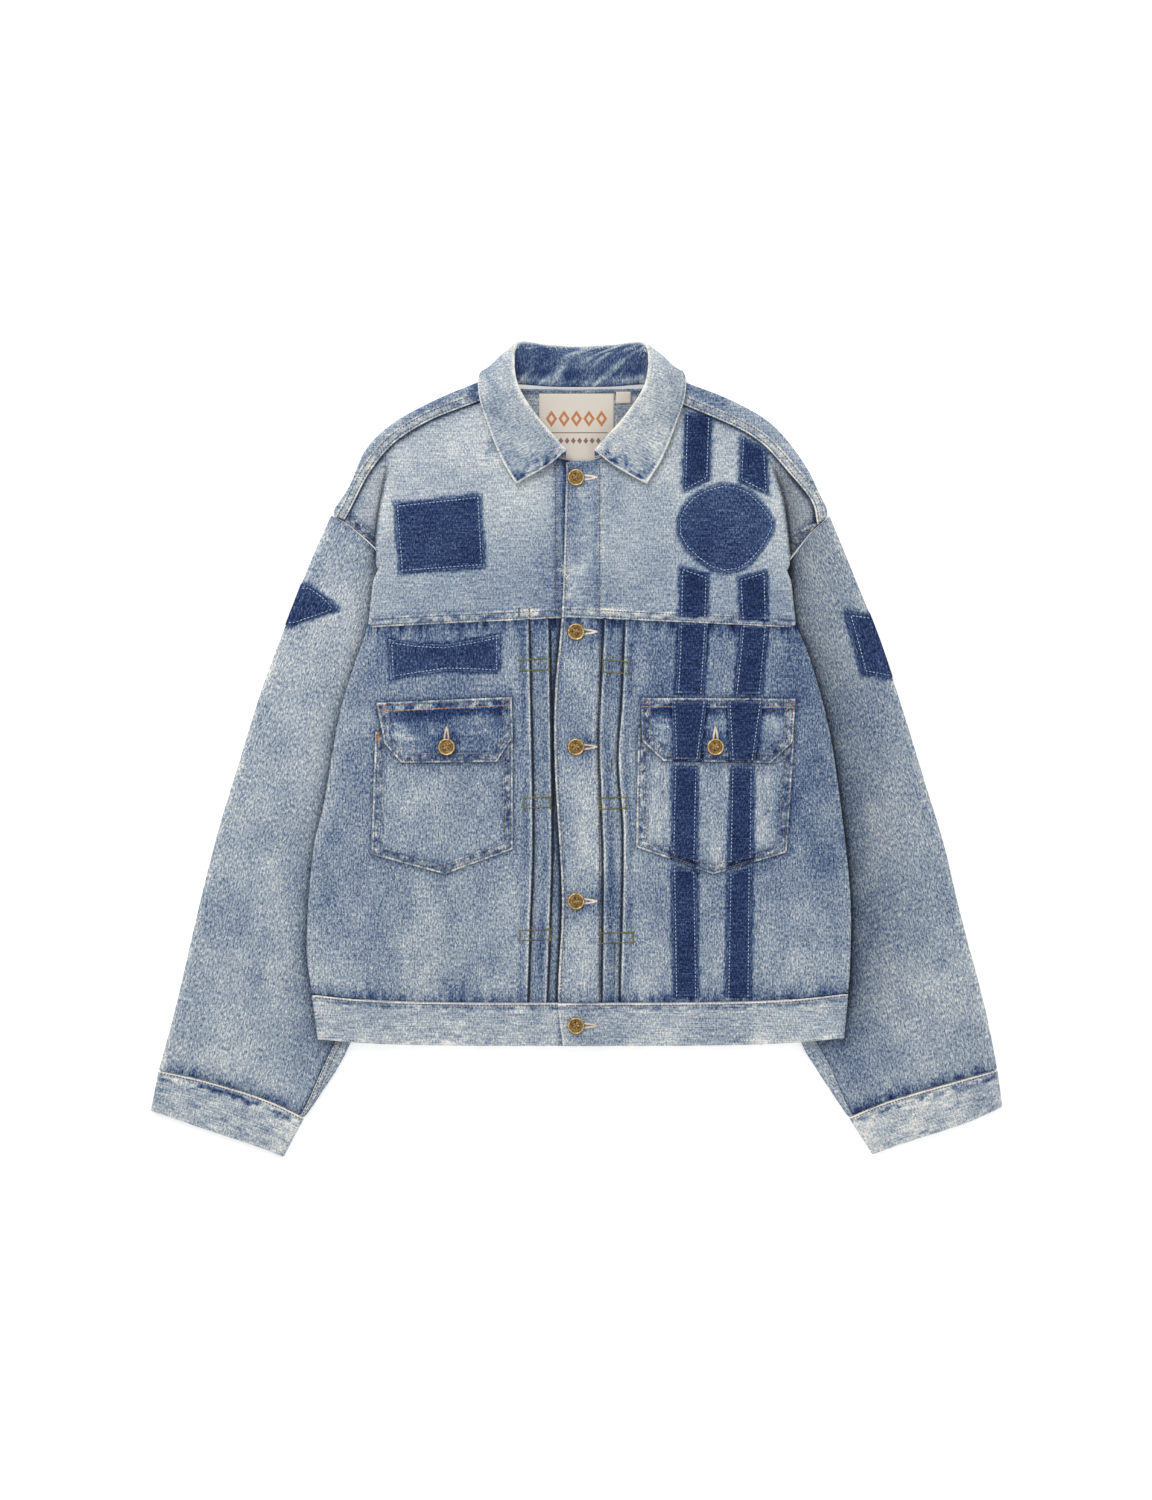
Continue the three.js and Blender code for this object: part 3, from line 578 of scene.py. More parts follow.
def denim(name, speckled, slubbed, streaked, clouded, rough):
    graph = Graph(name)
    place = graph.onCloth()
    fade = graph.attribute("fade")
    speckle = graph.noise(place, (0.66, 0.32, 1), 3.0, 0.8) - 0.5
    slub = graph.noise(place, (0.75, 0.075, 1), 2.0) - 0.5
    streak = graph.noise(place, (0.06, 0.8, 1), 2.0) - 0.5
    cloud = graph.noise(place, (0.035, 0.022, 1), 3.0, 0.6) - 0.5
    twill = ((graph.part(place, 0) + graph.part(place, 1)) * 5.2).sine()
    spread = speckle * speckled + slub * slubbed + streak * streaked
    tone = fade + spread + cloud * clouded + twill * 0.012
    dyed = graph.ramp(dyeStops, tone)
    # painted shade: the shade attribute mixes the dark grey into the dye
    shade = graph.attribute("shade")
    colour = mixColour(graph, dyed, paintedShadeColour, shade * (1.0 - speckle * 0.5))
    relief = speckle * 1.2 + slub * 0.8 + streak * 0.5 + twill * 0.1
    return graph.surface({"Base Color": colour, "Roughness": 0.95 - tone * 0.12, "Specular IOR Level": 0.2,
                          "Normal": graph.bump(relief, rough, 0.0006)})


def threadMaterial(name, colour, worn):
    graph = Graph(name)
    place = graph.inSpace()
    blotch = graph.noise(place, (90, 90, 90), 2.0)
    shade = graph.ramp([(0.35, linear(*colour)), (0.7, linear(*worn))], blotch)
    twist = graph.noise(place, (1400, 1400, 1400), 1.0)
    return graph.surface({"Base Color": shade, "Roughness": 0.8, "Normal": graph.bump(twist, 0.3, 0.0003)})


def brassMaterial():
    graph = Graph("antique brass")
    place = graph.inSpace()
    hollow = graph.attribute("hollow")
    tarnish = graph.noise(place, (420, 420, 420), 3.0, 0.6)
    tone = tarnish * 0.9 + 0.20 - hollow * 0.42
    stops = [(0.1, linear(56, 40, 20)), (0.45, linear(152, 122, 72)), (0.8, linear(250, 224, 170))]
    return graph.surface({"Base Color": graph.ramp(stops, tone), "Metallic": 0.7,
                          "Roughness": 0.62 - tone * 0.3, "Normal": graph.bump(tarnish, 0.35, 0.0004)})


# sizes of the label's pattern: diamonds, a line and small diamonds, up from its lower edge
labelMotif = {"cell": 12.5, "row": 44.0, "tall": 9.0, "line": 30.0, "smallRow": 22.0, "smallTall": 4.0,
              "middle": 37.5}


def labelMaterial(name, motif):
    graph = Graph(name)
    place = graph.onCloth()
    weave = graph.noise(place, (1.6, 1.6, 1), 2.0) - 0.5
    colour = graph.ramp([(0.2, linear(182, 173, 160)), (0.8, linear(222, 213, 202))], weave + 0.55)
    x, y = graph.part(place, 0), graph.part(place, 1)
    if motif:
        # a row of open diamonds, a thin line and a row of small diamonds below it
        size = labelMotif
        fromMiddle = (((x + size["cell"] / 2) / size["cell"]).part() - 0.5).apart() * 2
        away = fromMiddle + ((y - size["row"]) / size["tall"]).apart()
        ring = (1 - away.over(0.92)) - (1 - away.over(0.42))
        band = 1 - (y - size["line"]).apart().over(0.5)
        smallAway = ((x / (size["cell"] / 2)).part() - 0.5).apart() * 2
        smallAway = smallAway + ((y - size["smallRow"]) / size["smallTall"]).apart()
        within = 1 - (x - size["middle"]).apart().over(size["cell"] * 2.5)
        rough = graph.noise(place, (0.9, 0.9, 1), 2.0)
        brown = (band + (1 - smallAway.over(0.8))).least(1.0) * within
        orange = ring * within * (0.55 + rough * 0.7).least(1.0)
        colour = mixColour(graph, colour, linear(176, 106, 42), orange)
        colour = mixColour(graph, colour, linear(92, 50, 38), brown * (0.4 + rough * 0.8).least(1.0))
    return graph.surface({"Base Color": colour, "Roughness": 0.85, "Normal": graph.bump(weave, 0.4, 0.0004)})


def mixColour(graph, under, over, amount):
    sockets = {"Factor": amount, "A": under, "B": (*over, 1)}
    return graph.wire("ShaderNodeMix", {"data_type": "RGBA"}, sockets, 2)


finishes = {
    **{kind: denim(*values) for kind, values in grains.items()},
    "label": labelMaterial("woven label", True),
    "tag": labelMaterial("plain tag", False),
    "brass": brassMaterial(),
    "brown": threadMaterial("brown topstitch", (84, 72, 68), (130, 114, 102)),
    "orange": threadMaterial("orange topstitch", (176, 122, 70), (206, 172, 130)),
    "olive": threadMaterial("olive tack thread", (98, 94, 44), (134, 126, 74)),
    "pale": threadMaterial("pale patch thread", (134, 154, 188), (198, 208, 222)),
    "ecru": threadMaterial("ecru buttonhole thread", (206, 192, 170), (240, 232, 216)),
    "fray": threadMaterial("frayed cotton", (200, 204, 206), (242, 240, 234)),
}
print("materials ready")


# ---- meshes

def closedSheet(name, grid, wall, finish, fade, grain, shade):
    # a wall of cloth round a grid of middle points: rows by columns by three
    rows, columns = grid.shape[:2]
    fade = np.broadcast_to(fade, (rows, columns))
    shade = np.broadcast_to(np.clip(shade, 0, 0.92), (rows, columns))
    padded = np.pad(grid, ((1, 1), (1, 1), (0, 0)), mode="edge")
    alongU = padded[1:-1, 2:] - padded[1:-1, :-2]
    alongV = padded[2:, 1:-1] - padded[:-2, 1:-1]
    normal = np.cross(alongU, alongV)
    normal /= np.maximum(np.linalg.norm(normal, axis=-1, keepdims=True), 1e-9)
    if normal[..., 2].mean() < 0:
        grid, fade, grain, normal = grid[:, ::-1], fade[:, ::-1], grain[:, ::-1], -normal[:, ::-1]
        shade = shade[:, ::-1]
    half = np.full((rows, columns, 1), wall / 2)
    half[[0, -1]] *= 0.45
    half[:, [0, -1]] *= 0.45
    points = np.concatenate([(grid + normal * half).reshape(-1, 3), (grid - normal * half).reshape(-1, 3)])
    ids = np.arange(rows * columns).reshape(rows, columns)
    a, b, c, d = ids[:-1, :-1], ids[:-1, 1:], ids[1:, 1:], ids[1:, :-1]
    second = rows * columns
    top = np.stack([a, b, c, d], -1).reshape(-1, 4)
    under = np.stack([a, d, c, b], -1).reshape(-1, 4) + second
    rim = np.concatenate([ids[0, :-1], ids[:-1, -1], ids[-1, :0:-1], ids[:0:-1, 0]])
    after = np.roll(rim, -1)
    edge = np.stack([rim, rim + second, after + second, after], -1)
    values = {"fade": np.tile(fade.reshape(-1), 2), "shade": np.tile(shade.reshape(-1), 2)}
    return meshObject(name, points, np.concatenate([top, under, edge]), finish, values,
                      np.tile(grain.reshape(-1, 2), (2, 1)))


def meshObject(name, points, faces, finish, attributes=None, grain=None):
    mesh = bpy.data.meshes.new(name)
    faces = np.asarray(faces)
    sides = faces.shape[1]
    mesh.vertices.add(len(points))
    mesh.vertices.foreach_set("co", inMetres(points).astype(np.float32).ravel())
    mesh.loops.add(faces.size)
    mesh.loops.foreach_set("vertex_index", faces.astype(np.int32).ravel())
    mesh.polygons.add(len(faces))
    mesh.polygons.foreach_set("loop_start", np.arange(0, faces.size, sides, dtype=np.int32))
    mesh.update(calc_edges=True)
    for key, values in (attributes or {}).items():
        layer = mesh.attributes.new(key, "FLOAT", "POINT")
        layer.data.foreach_set("value", np.asarray(values, np.float32))
    if grain is not None:
        uv = mesh.uv_layers.new(name="grain")
        uv.data.foreach_set("uv", (np.asarray(grain)[faces.ravel()] / 1000).astype(np.float32).ravel())
    mesh.polygons.foreach_set("use_smooth", np.ones(len(faces), bool))
    mesh.materials.append(finishes[finish])
    mesh.validate()
    return linked(name, mesh)


def cutSize(grid, pointed):
    # the flat width, length and area of a sheet, measured along the cloth
    across = np.linalg.norm(np.diff(grid, axis=1), axis=-1).sum(1).max()
    columns = np.linalg.norm(np.diff(grid, axis=0), axis=-1).sum(0)
    along = columns.min() if pointed else columns.max()
    one = np.cross(grid[1:, :-1] - grid[:-1, :-1], grid[:-1, 1:] - grid[:-1, :-1])
    two = np.cross(grid[1:, :-1] - grid[1:, 1:], grid[:-1, 1:] - grid[1:, 1:])
    area = (np.linalg.norm(one, axis=-1).sum() + np.linalg.norm(two, axis=-1).sum()) / 2
    return across / 1000, along / 1000, area / 1e6


made = {}


def cloth(node, grid, wall, finish, fade, grain=None, restsOn=(), pointed=False, shade=0.0):
    # a finished sheet in place of its plain solid; its weave follows x and y unless it is given
    grain = grid[..., :2].copy() if grain is None else grain
    piece = closedSheet("cloth_" + node, grid, wall, finish, fade, grain, shade)
    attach(piece, "root")
    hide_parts(node)
    width, length, area = cutSize(grid, pointed)
    area = min(area, width * length)
    list(restsOn)
    made[node] = piece
    print(f"{node}: {width * 1000:.0f} x {length * 1000:.0f} mm, {len(piece.data.polygons)} faces")


class Skin:
    # what lies highest among some pieces at a place
    def __init__(self, nodes):
        points, faces, start = [], [], 0
        for node in nodes:
            mesh = made[node].data
            co = np.empty(len(mesh.vertices) * 3, np.float32)
            mesh.vertices.foreach_get("co", co)
            points.append(co.reshape(-1, 3) * 1000 - shift)
            corners = np.empty(len(mesh.loops), np.int32)
            mesh.loops.foreach_get("vertex_index", corners)
            faces.append(corners.reshape(-1, 4) + start)
            start += len(mesh.vertices)
        self.tree = BVHTree.FromPolygons(np.concatenate(points).tolist(), np.concatenate(faces).tolist())

    def top(self, x, y, missing=8.0):
        x, y = np.broadcast_arrays(np.asarray(x, float), np.asarray(y, float))
        down = Vector((0, 0, -1))
        found = []
        for px, py in zip(x.ravel(), y.ravel()):
            hit = self.tree.ray_cast(Vector((px, py, 200)), down)[0]
            found.append(missing if hit is None else hit.z)
        return np.array(found).reshape(x.shape)


# ---- fading and relief that seams, edges and patches leave in the cloth

puckerFine = softNoise(11, 3.2, 4.0)
puckerWide = softNoise(12, 5.6, 4.6)
wornSpots = softNoise(13, 5.5, 3.2)
clouds = softNoise(14, 46.0, 60.0)
smallClouds = softNoise(15, 15.0, 24.0)
warpStreaks = softNoise(16, 3.6, 30.0)
edgeNoise = softNoise(17, 7.0, 7.0)

pocketOutline = {
    -1: [(-200, 18), (-204, -104), (-131, -124), (-63, -99), (-63, 20)],
    1: [(62, 22), (60, -97), (137, -124), (210, -102), (218, 18)],
}
flapOutline = {
    -1: [(-199, 47), (-191, 7), (-174, -13), (-79, -12), (-63, 13), (-64, 53)],
    1: [(65, 52), (66, 9), (87, -11), (194, -13), (216, 8), (219, 51)],
}
flapButtonOut = {-1: 129, 1: 139}
flapButtonHeight = 3
buttonHeights = [272, 118, 3, -151, -275]

# patches as an upper and a lower line
patchShapes = {
    "patch_rectangle": ([(-181.5, 246), (-95, 255.5)], [(-176, 175.5), (-91, 182)]),
    "patch_waisted": ([(-187, 110.5), (-160, 106.5), (-132, 105), (-105, 109.5), (-76, 115.5)],
                      [(-185, 70), (-157, 74.5), (-129, 78.5), (-103, 78), (-76, 76.5)]),
    "patch_barrel": ([(101, 231), (106, 243), (116, 254), (130, 262), (146, 266), (160, 265), (174, 259),
                      (187, 246), (198, 230)],
                     [(101, 215), (108, 202), (120, 190), (134, 180), (148, 176), (162, 178), (175, 186),
                      (187, 200), (198, 220)]),
}
stripShapes = {
    "strip_shoulder_inner": ([(108.5, 337), (135.5, 331)], [(106.5, 258), (133.5, 269)]),
    "strip_shoulder_outer": ([(164.5, 313), (190.5, 298)], [(162.5, 267), (192.5, 255)]),
    "strip_yoke_inner": ([(103.5, 183), (132.5, 175)], [(102.5, 134), (131.5, 133)]),
    "strip_yoke_outer": ([(161.5, 172), (190.5, 179)], [(163.5, 131), (191.5, 130)]),
    "strip_front_inner": ([(102.5, 127), (131.5, 126)], [(99.5, 57), (127.5, 56)]),
    "strip_front_outer": ([(164.5, 124), (191.5, 123)], [(157.5, 56), (185.5, 56)]),
    "strip_flap_inner": ([(95.5, 48), (130.5, 48)], [(97.5, -9), (123.5, -9)]),
    "strip_flap_outer": ([(150.5, 48), (186.5, 48)], [(153.5, -10), (178.5, -10)]),
    "strip_pocket_inner": ([(96.5, -17), (122.5, -17)], [(94.5, -103), (120.5, -111)]),
    "strip_pocket_outer": ([(153.5, -17), (177.5, -17)], [(151.5, -112), (176.5, -107)]),
    "strip_hem_inner": ([(95.5, -116), (120.5, -122)], [(97.5, -246), (122.5, -246)]),
    "strip_hem_outer": ([(151.5, -124), (175.5, -119)], [(149.5, -246), (174.5, -246)]),
}


def outlineOf(shape):
    upper, lower = shape
    return [*upper, *reversed(lower)]


def seamBand(distance, x, y, width=9.5, strength=1.0, dark=0.0):
    # a felled or turned edge: its rise, and how it fades the cloth; distance is in from the edge
    within = smooth(distance / 0.8) * (1 - smooth((distance - width) / 1.2))
    rope = puckerWide(x + 0.4 * y, y - 0.4 * x) * 0.6 + puckerFine(x + y, y - x) * 0.4
    rise = within * (0.55 + 0.6 * rope * strength)
    ridge = hump((distance - 0.9) / 1.5) + 0.55 * hump((distance - width + 0.4) / 1.3)
    worn = ridge * (0.24 + 0.10 * edgeNoise(x, y))
    tone = within * (0.46 * rope * strength - dark) + worn
    tone -= 0.24 * strength * hump((distance - width - 1.8) / 2.6) * (0.55 + 0.45 * rope)
    return rise, tone


def besideEdge(distance, reach, depth):
    # painted shade: darker cloth beside a piece that lies on it; distance is out from the piece
    return -depth * trail(distance, reach) * (distance > -6)


def stripsOver(*parts):  # shapes of the strips whose names hold one of these words
    return [shape for name, shape in stripShapes.items() if any(part in name for part in parts)]


def patchHalo(x, y, shapes):
    tone = np.zeros(np.shape(x))
    for shape in shapes:
        away = -signedInside(outlineOf(shape), x, y)
        soft = away + 0.9 * edgeNoise(x, y)
        tone = np.minimum(tone, -0.40 * (1 - smooth((soft + 0.4) / 3.4)))
    return tone


def drawnDown(shape, by=13):
    # a strip's shape carried on over the seam below it
    upper, lower = shape
    return upper, [(x, y - by) for x, y in lower]


def cloudy(x, y, amount=1.0):
    return amount * (0.05 * clouds(x, y) + 0.035 * smallClouds(x, y))


# listed worn or dark places on the fronts: x, y, half width, half height, change
frontPlaces = [
    (-45, 138, 11, 5, 0.30), (25, 139, 34, 4, 0.30), (-112, -215, 40, 30, -0.04), (-3, 178, 8, 12, 0.22),
    (-60, 135, 12, 6, 0.12), (-30, 165, 22, 40, -0.10), (34, 150, 20, 30, -0.07), (-8, 235, 14, 60, -0.10),
    (12, 60, 18, 40, 0.05), (5, -80, 16, 50, 0.08), (5, -210, 20, 40, 0.08), (-225, 20, 24, 60, -0.06),
    (235, 20, 22, 60, -0.08), (-230, -190, 30, 50, 0.06), (236, -190, 28, 46, 0.05), (85, -70, 16, 50, 0.04),
    (-92, 300, 40, 26, 0.03), (30, 250, 16, 40, -0.08), (-18, 310, 16, 12, -0.16), (34, 300, 20, 12, -0.14),
    (90, 62, 34, 8, -0.10), (-140, 66, 60, 8, -0.03),
]


def placed(places, x, y):
    tone = np.zeros(np.shape(x))
    for px, py, wide, tall, change in places:
        near = np.exp(-((x - px) / wide) ** 2 - ((y - py) / tall) ** 2)
        tone += change * near * (1 + 0.7 * wornSpots(x, y))
    return tone


def aroundButtons(x, y):
    tone = np.zeros(np.shape(x))
    for height in buttonHeights:
        near = np.hypot((x - 6) / 1.5, y - height)
        tone -= 0.20 * bell(near / 11) * (1 + 0.6 * edgeNoise(x, y))
    return tone


# ---- yokes

yokes = {"lap": 4.0, "band": 9.5, "lift": 1.1, "turn": 5.0}


def shoulderValley(side, out, y):
    # beside the folded edge of the body the cloth drops towards the armhole
    edge = bodyEdge[side](y)
    depth = smooth((292 - y) / 70) * smooth((y - 176) / 12)
    past = out - edge
    dip = hump((past - 2.6) / np.where(past < 2.6, 3.4, 16))
    crest = hump((past + 6) / 9)
    reach = 26 if side > 0 else 11
    # painted shade: a dark line along the fold edge and a wider shade spreading out from it, which also
    # darkens the tone; wider on the left front
    line = np.exp(-np.abs(past - 1.2) / 1.6) * smooth((past + 2) / 2)
    paintedShade = smooth((300 - y) / 34) * smooth((y - 176) / 12) * smooth((past + 2.5) / 3)
    paintedShade = paintedShade * (0.62 * line + (0.60 if side > 0 else 0.36) * trail(past - 2, reach))
    return depth * (2.3 * crest - 2.8 * dip), depth * 0.04 * crest - 0.10 * paintedShade, paintedShade


def frontYoke(side):
    def bottom(out):
        return yokeSeamAt(out) - yokes["lap"]

    edgeAt = bodyEdge[side]
    low = curve([(frontEdge[side](138), bottom(0)), (100, bottom(100)), (edgeAt(127), bottom(edgeAt(127)))])
    tucked = [(out + 1, y + 2) for out, y in shoulderSeam[side]]
    high = curve([*neckline[side], *tucked[1:]])
    outer = [p for p in reversed(armhole[side]) if 185 < p[1] < 232]
    far = curve([(edgeAt(127), bottom(210)), (edgeAt(160), 160), *outer, tucked[-1]])

    def near(v):
        y = mix(bottom(0), neckline[side][0][1], np.asarray(v, float))
        return np.stack([frontEdge[side](y), y], -1)

    sheet = span(low, high, near, far)
    v = steps(225)[:, None]
    flatShare = 11 / 12
    turnSteps = np.concatenate([np.linspace(yokes["turn"], -3.5, 11), np.linspace(-5, -12.5, 5)])
    u = np.concatenate([steps(205) * flatShare, np.full(len(turnSteps), flatShare)])[None, :]
    u, v = np.broadcast_arrays(u, v)
    flat = sheet(u, v)
    out, y = flat[..., 0].copy(), flat[..., 1].copy()
    under = 1 - smooth((y - 178) / 20)
    edge = far(v)
    isTurn = np.zeros(u.shape, bool)
    isTurn[:, -len(turnSteps):] = True
    out = np.where(isTurn, out, np.minimum(out, mix(999, edge[..., 0] - 6, under)))
    progress = np.zeros(u.shape)
    progress[:, -len(turnSteps):] = (np.arange(len(turnSteps)) + 1) / len(turnSteps)
    openOut, openY = mix(out, edge[..., 0], progress), mix(y, edge[..., 1], progress)
    s = np.zeros(u.shape)
    s[:, -len(turnSteps):] = turnSteps
    inset, rise = turned(s, layers["sideRadius"])
    base = frontHeight(side, edge[..., 0] - 6, edge[..., 1]) - 2 * layers["sideRadius"]

    openZ, seamTone, paintedShade = yokeForm(side, openOut, openY)
    foldedOut, foldedZ = edge[..., 0] - inset, base + rise
    share = np.where(isTurn, under, 0)
    finalOut = mix(openOut, foldedOut, share)
    finalY = mix(openY, edge[..., 1], share)
    z = mix(openZ, foldedZ, share)
    x = side * finalOut
    tone = mix(0.665, 0.785, smooth((finalY - 150) / 120)) + seamTone
    tone += cloudy(x, finalY) + placed(frontPlaces, x, finalY) + aroundButtons(x, finalY) * 0.6
    tone += 0.05 * warpStreaks(x, finalY) * hump(finalOut / 40)
    if side == 1:
        shapes = [patchShapes["patch_barrel"], *stripsOver("shoulder", "yoke")]
        tone -= 0.03 * smooth((finalY - 200) / 60)
    else:
        shapes = [patchShapes["patch_rectangle"]]
    tone += patchHalo(x, finalY, shapes)
    tone += foldEdgeTone(s, share)
    cloth(named(side, "front_yoke"), joined(x, finalY, z), jacket["wall"], "yoke", tone,
          restsOn=["back_panel"], shade=paintedShade * (1 - share))


def foldEdgeTone(s, share):
    # cloth worn pale along the very edge of a fold
    return share * (0.10 * hump((s - 1.5) / 4) - 0.25 * (s < -3))


def yokeForm(side, out, y):
    x = side * out
    z = frontHeight(side, out, y)
    drop, tone, paintedShade = shoulderValley(side, out, y)
    z += drop
    fromBottom = y - (yokeSeamAt(out) - yokes["lap"])
    rise, change = seamBand(fromBottom, 1.4 * x, 1.2 * y, yokes["band"], 0.8, 0.04)
    z += yokes["lift"] * rise
    tone += change
    # the band along the armhole, hard puckered
    fromArm = distanceTo(armhole[side], out, y, closed=False)
    rise, change = seamBand(fromArm + 0.4, 1.5 * x, 1.5 * y, 8.5, 1.1, 0.16)
    armShare = smooth((out - bodyEdge[side](y) + 1.5) / 4) * smooth((y - 196) / 6) * smooth((246 - y) / 6)
    z += 1.2 * rise * armShare
    tone += change * armShare
    fromShoulder = distanceTo(shoulderSeam[side], out, y, closed=False)
    tone += besideEdge(fromShoulder - 1, 2.6, 0.30) * (y > 226)
    # bands down the front edge: folded and stitched
    fromEdge = out - frontEdge[side](y)
    if side == 1:
        placket = hump(np.minimum(fromEdge - 1.2, 0) / 1.5) * (1 - smooth((out - 24) / 2.5))
        z += 0.5 * placket
        tone += 0.30 * hump((fromEdge - 1.0) / 2.0) * (0.8 + 0.5 * wornSpots(x, y))
        tone -= 0.16 * hump((out - 20) / 5) * (0.5 + 0.5 * puckerWide(x, y))
        tone += 0.08 * hump((out - 26) / 4) + 0.16 * np.maximum(0, wornSpots(x * 1.2, y * 0.7)) * placket
        tone -= 0.05 * placket
    else:
        line = hump((out - 20.5) / 6)
        z -= 0.4 * hump((out - 20.5) / 2.2)
        tone -= 0.16 * line * (0.6 + 0.5 * puckerWide(x, y * 1.4))
        # painted shade: darker tone in the crevice under the edge of the left front
        tone -= 0.10 * hump((out - 14) / 12)
        tone -= 0.30 * hump((out - 10) / 5)
    # the cloth just below the collar is drawn darker
    tone -= 0.16 * hump((y - 318 + 0.6 * np.abs(out - 60)) / 16) * (out < 90)
    # painted shade beside the shoulder seam, and on the right front in the crevice along the edge of the left
    # front
    paintedShade += 0.5 * trail(fromShoulder - 1, 1.6) * (y > 226)
    if side == -1:
        past = out + frontEdge[1](y)
        paintedShade += 0.55 * np.exp(-np.abs(past - 0.6) / 1.2)
    return z, tone, paintedShade


# ---- lower fronts

lowerFront = {"edgeInset": 5.0, "topGap": 0.6}

# across one pleat: past its edge, and how much of its rise; the fold stands over its own crease
pleatProfile = [(-5.5, 0), (-3.2, 0), (-1.4, 0), (0.4, 0), (1.9, 0.02), (2.3, 0.12), (1.5, 0.3), (0.5, 0.42),
                (0.0, 0.62), (0.25, 0.84), (1.1, 0.98), (2.4, 1.0), (4.2, 0.92), (6.4, 0.66), (8.8, 0.34),
                (11.2, 0.1), (13.2, 0)]


def frontColumns(side):
    # each column: where it runs, its share of the pleat's rise, and the cloth beside the crease
    edge, inner, outer = frontEdge[side], pleatInner[side], pleatOuter[side]
    columns = []
    for t in steps(38, 2.2, 0.9, 6)[:-1]:
        columns.append((lambda y, t=t: mix(edge(y), inner(y) - 6.5, t), 0, 9))
    for past, rise in pleatProfile:
        columns.append((lambda y, p=past: inner(y) + p, rise, past))
    for past, rise in pleatProfile:
        columns.append((lambda y, p=past: outer(y) + p, rise, past))
    start, inset = pleatProfile[-1][0] + 1.8, lowerFront["edgeInset"]
    for t in steps(205, 2.8, 2.4, 6):
        columns.append((lambda y, t=t: mix(outer(y) + start, bodyEdge[side](y) - inset, t), 0, 20))
    return columns


def frontPanel(side):
    columns = frontColumns(side)
    turnSteps = np.concatenate([np.linspace(4.0, -3.5, 10), np.linspace(-5, -12.5, 5)])
    v = steps(388, 2.9)
    total = len(columns) + len(turnSteps)
    out, y, lift = np.zeros((len(v), total)), np.zeros((len(v), total)), np.zeros((len(v), total))
    pastEdge, s = np.full((len(v), total), 20.0), np.full((len(v), total), 99.0)
    for j in range(total):
        outAt, rise, past = columns[j] if j < len(columns) else (bodyEdge[side], 0, 20)
        place = outAt(np.full(len(v), -50.0))
        for _ in range(4):
            height = mix(waistSeamAt(place) + 0.3, yokeSeamAt(place) - lowerFront["topGap"], v)
            place = outAt(height)
        out[:, j], y[:, j], lift[:, j], pastEdge[:, j] = place, height, rise, past
        if j >= len(columns):
            s[:, j] = turnSteps[j - len(columns)]
    x = side * out
    fade = smooth((yokeSeamAt(out) - y) / 25) * smooth((y - waistSeamAt(out)) / 25)
    z = frontHeight(side, out, y)
    isTurn = s < 50
    inset, rise = turned(np.where(isTurn, s, 0), layers["sideRadius"])
    base = frontHeight(side, out - 5, y) - 2 * layers["sideRadius"]
    z += layers["pleat"] * lift * mix(0.2, 1, fade)
    fromTop, fromWaist = yokeSeamAt(out) - yokes["lap"] - y, y - waistSeamAt(out)
    gathers = warpStreaks(x * 1.1, y * 0.6)
    z += 0.45 * gathers * trail(fromTop, 12) * smooth(fromTop / 4)
    z += 0.30 * gathers * trail(fromWaist, 8) * smooth(fromWaist / 4)
    x = np.where(isTurn, side * (out - inset), x)
    z = np.where(isTurn, base + rise, z)
    tone, paintedShade = lowerTone(side, x, y, out, pastEdge, gathers, fromTop, fromWaist)
    tone += foldEdgeTone(np.where(isTurn, s, 99), isTurn * 1.0)
    tone += 0.05 * hump((out - bodyEdge[side](y) + 6) / 8) * (~isTurn)
    cloth(named(side, "front_panel"), joined(x, y, z), jacket["wall"], "denim", tone,
          restsOn=["back_panel"], shade=paintedShade * (~isTurn))


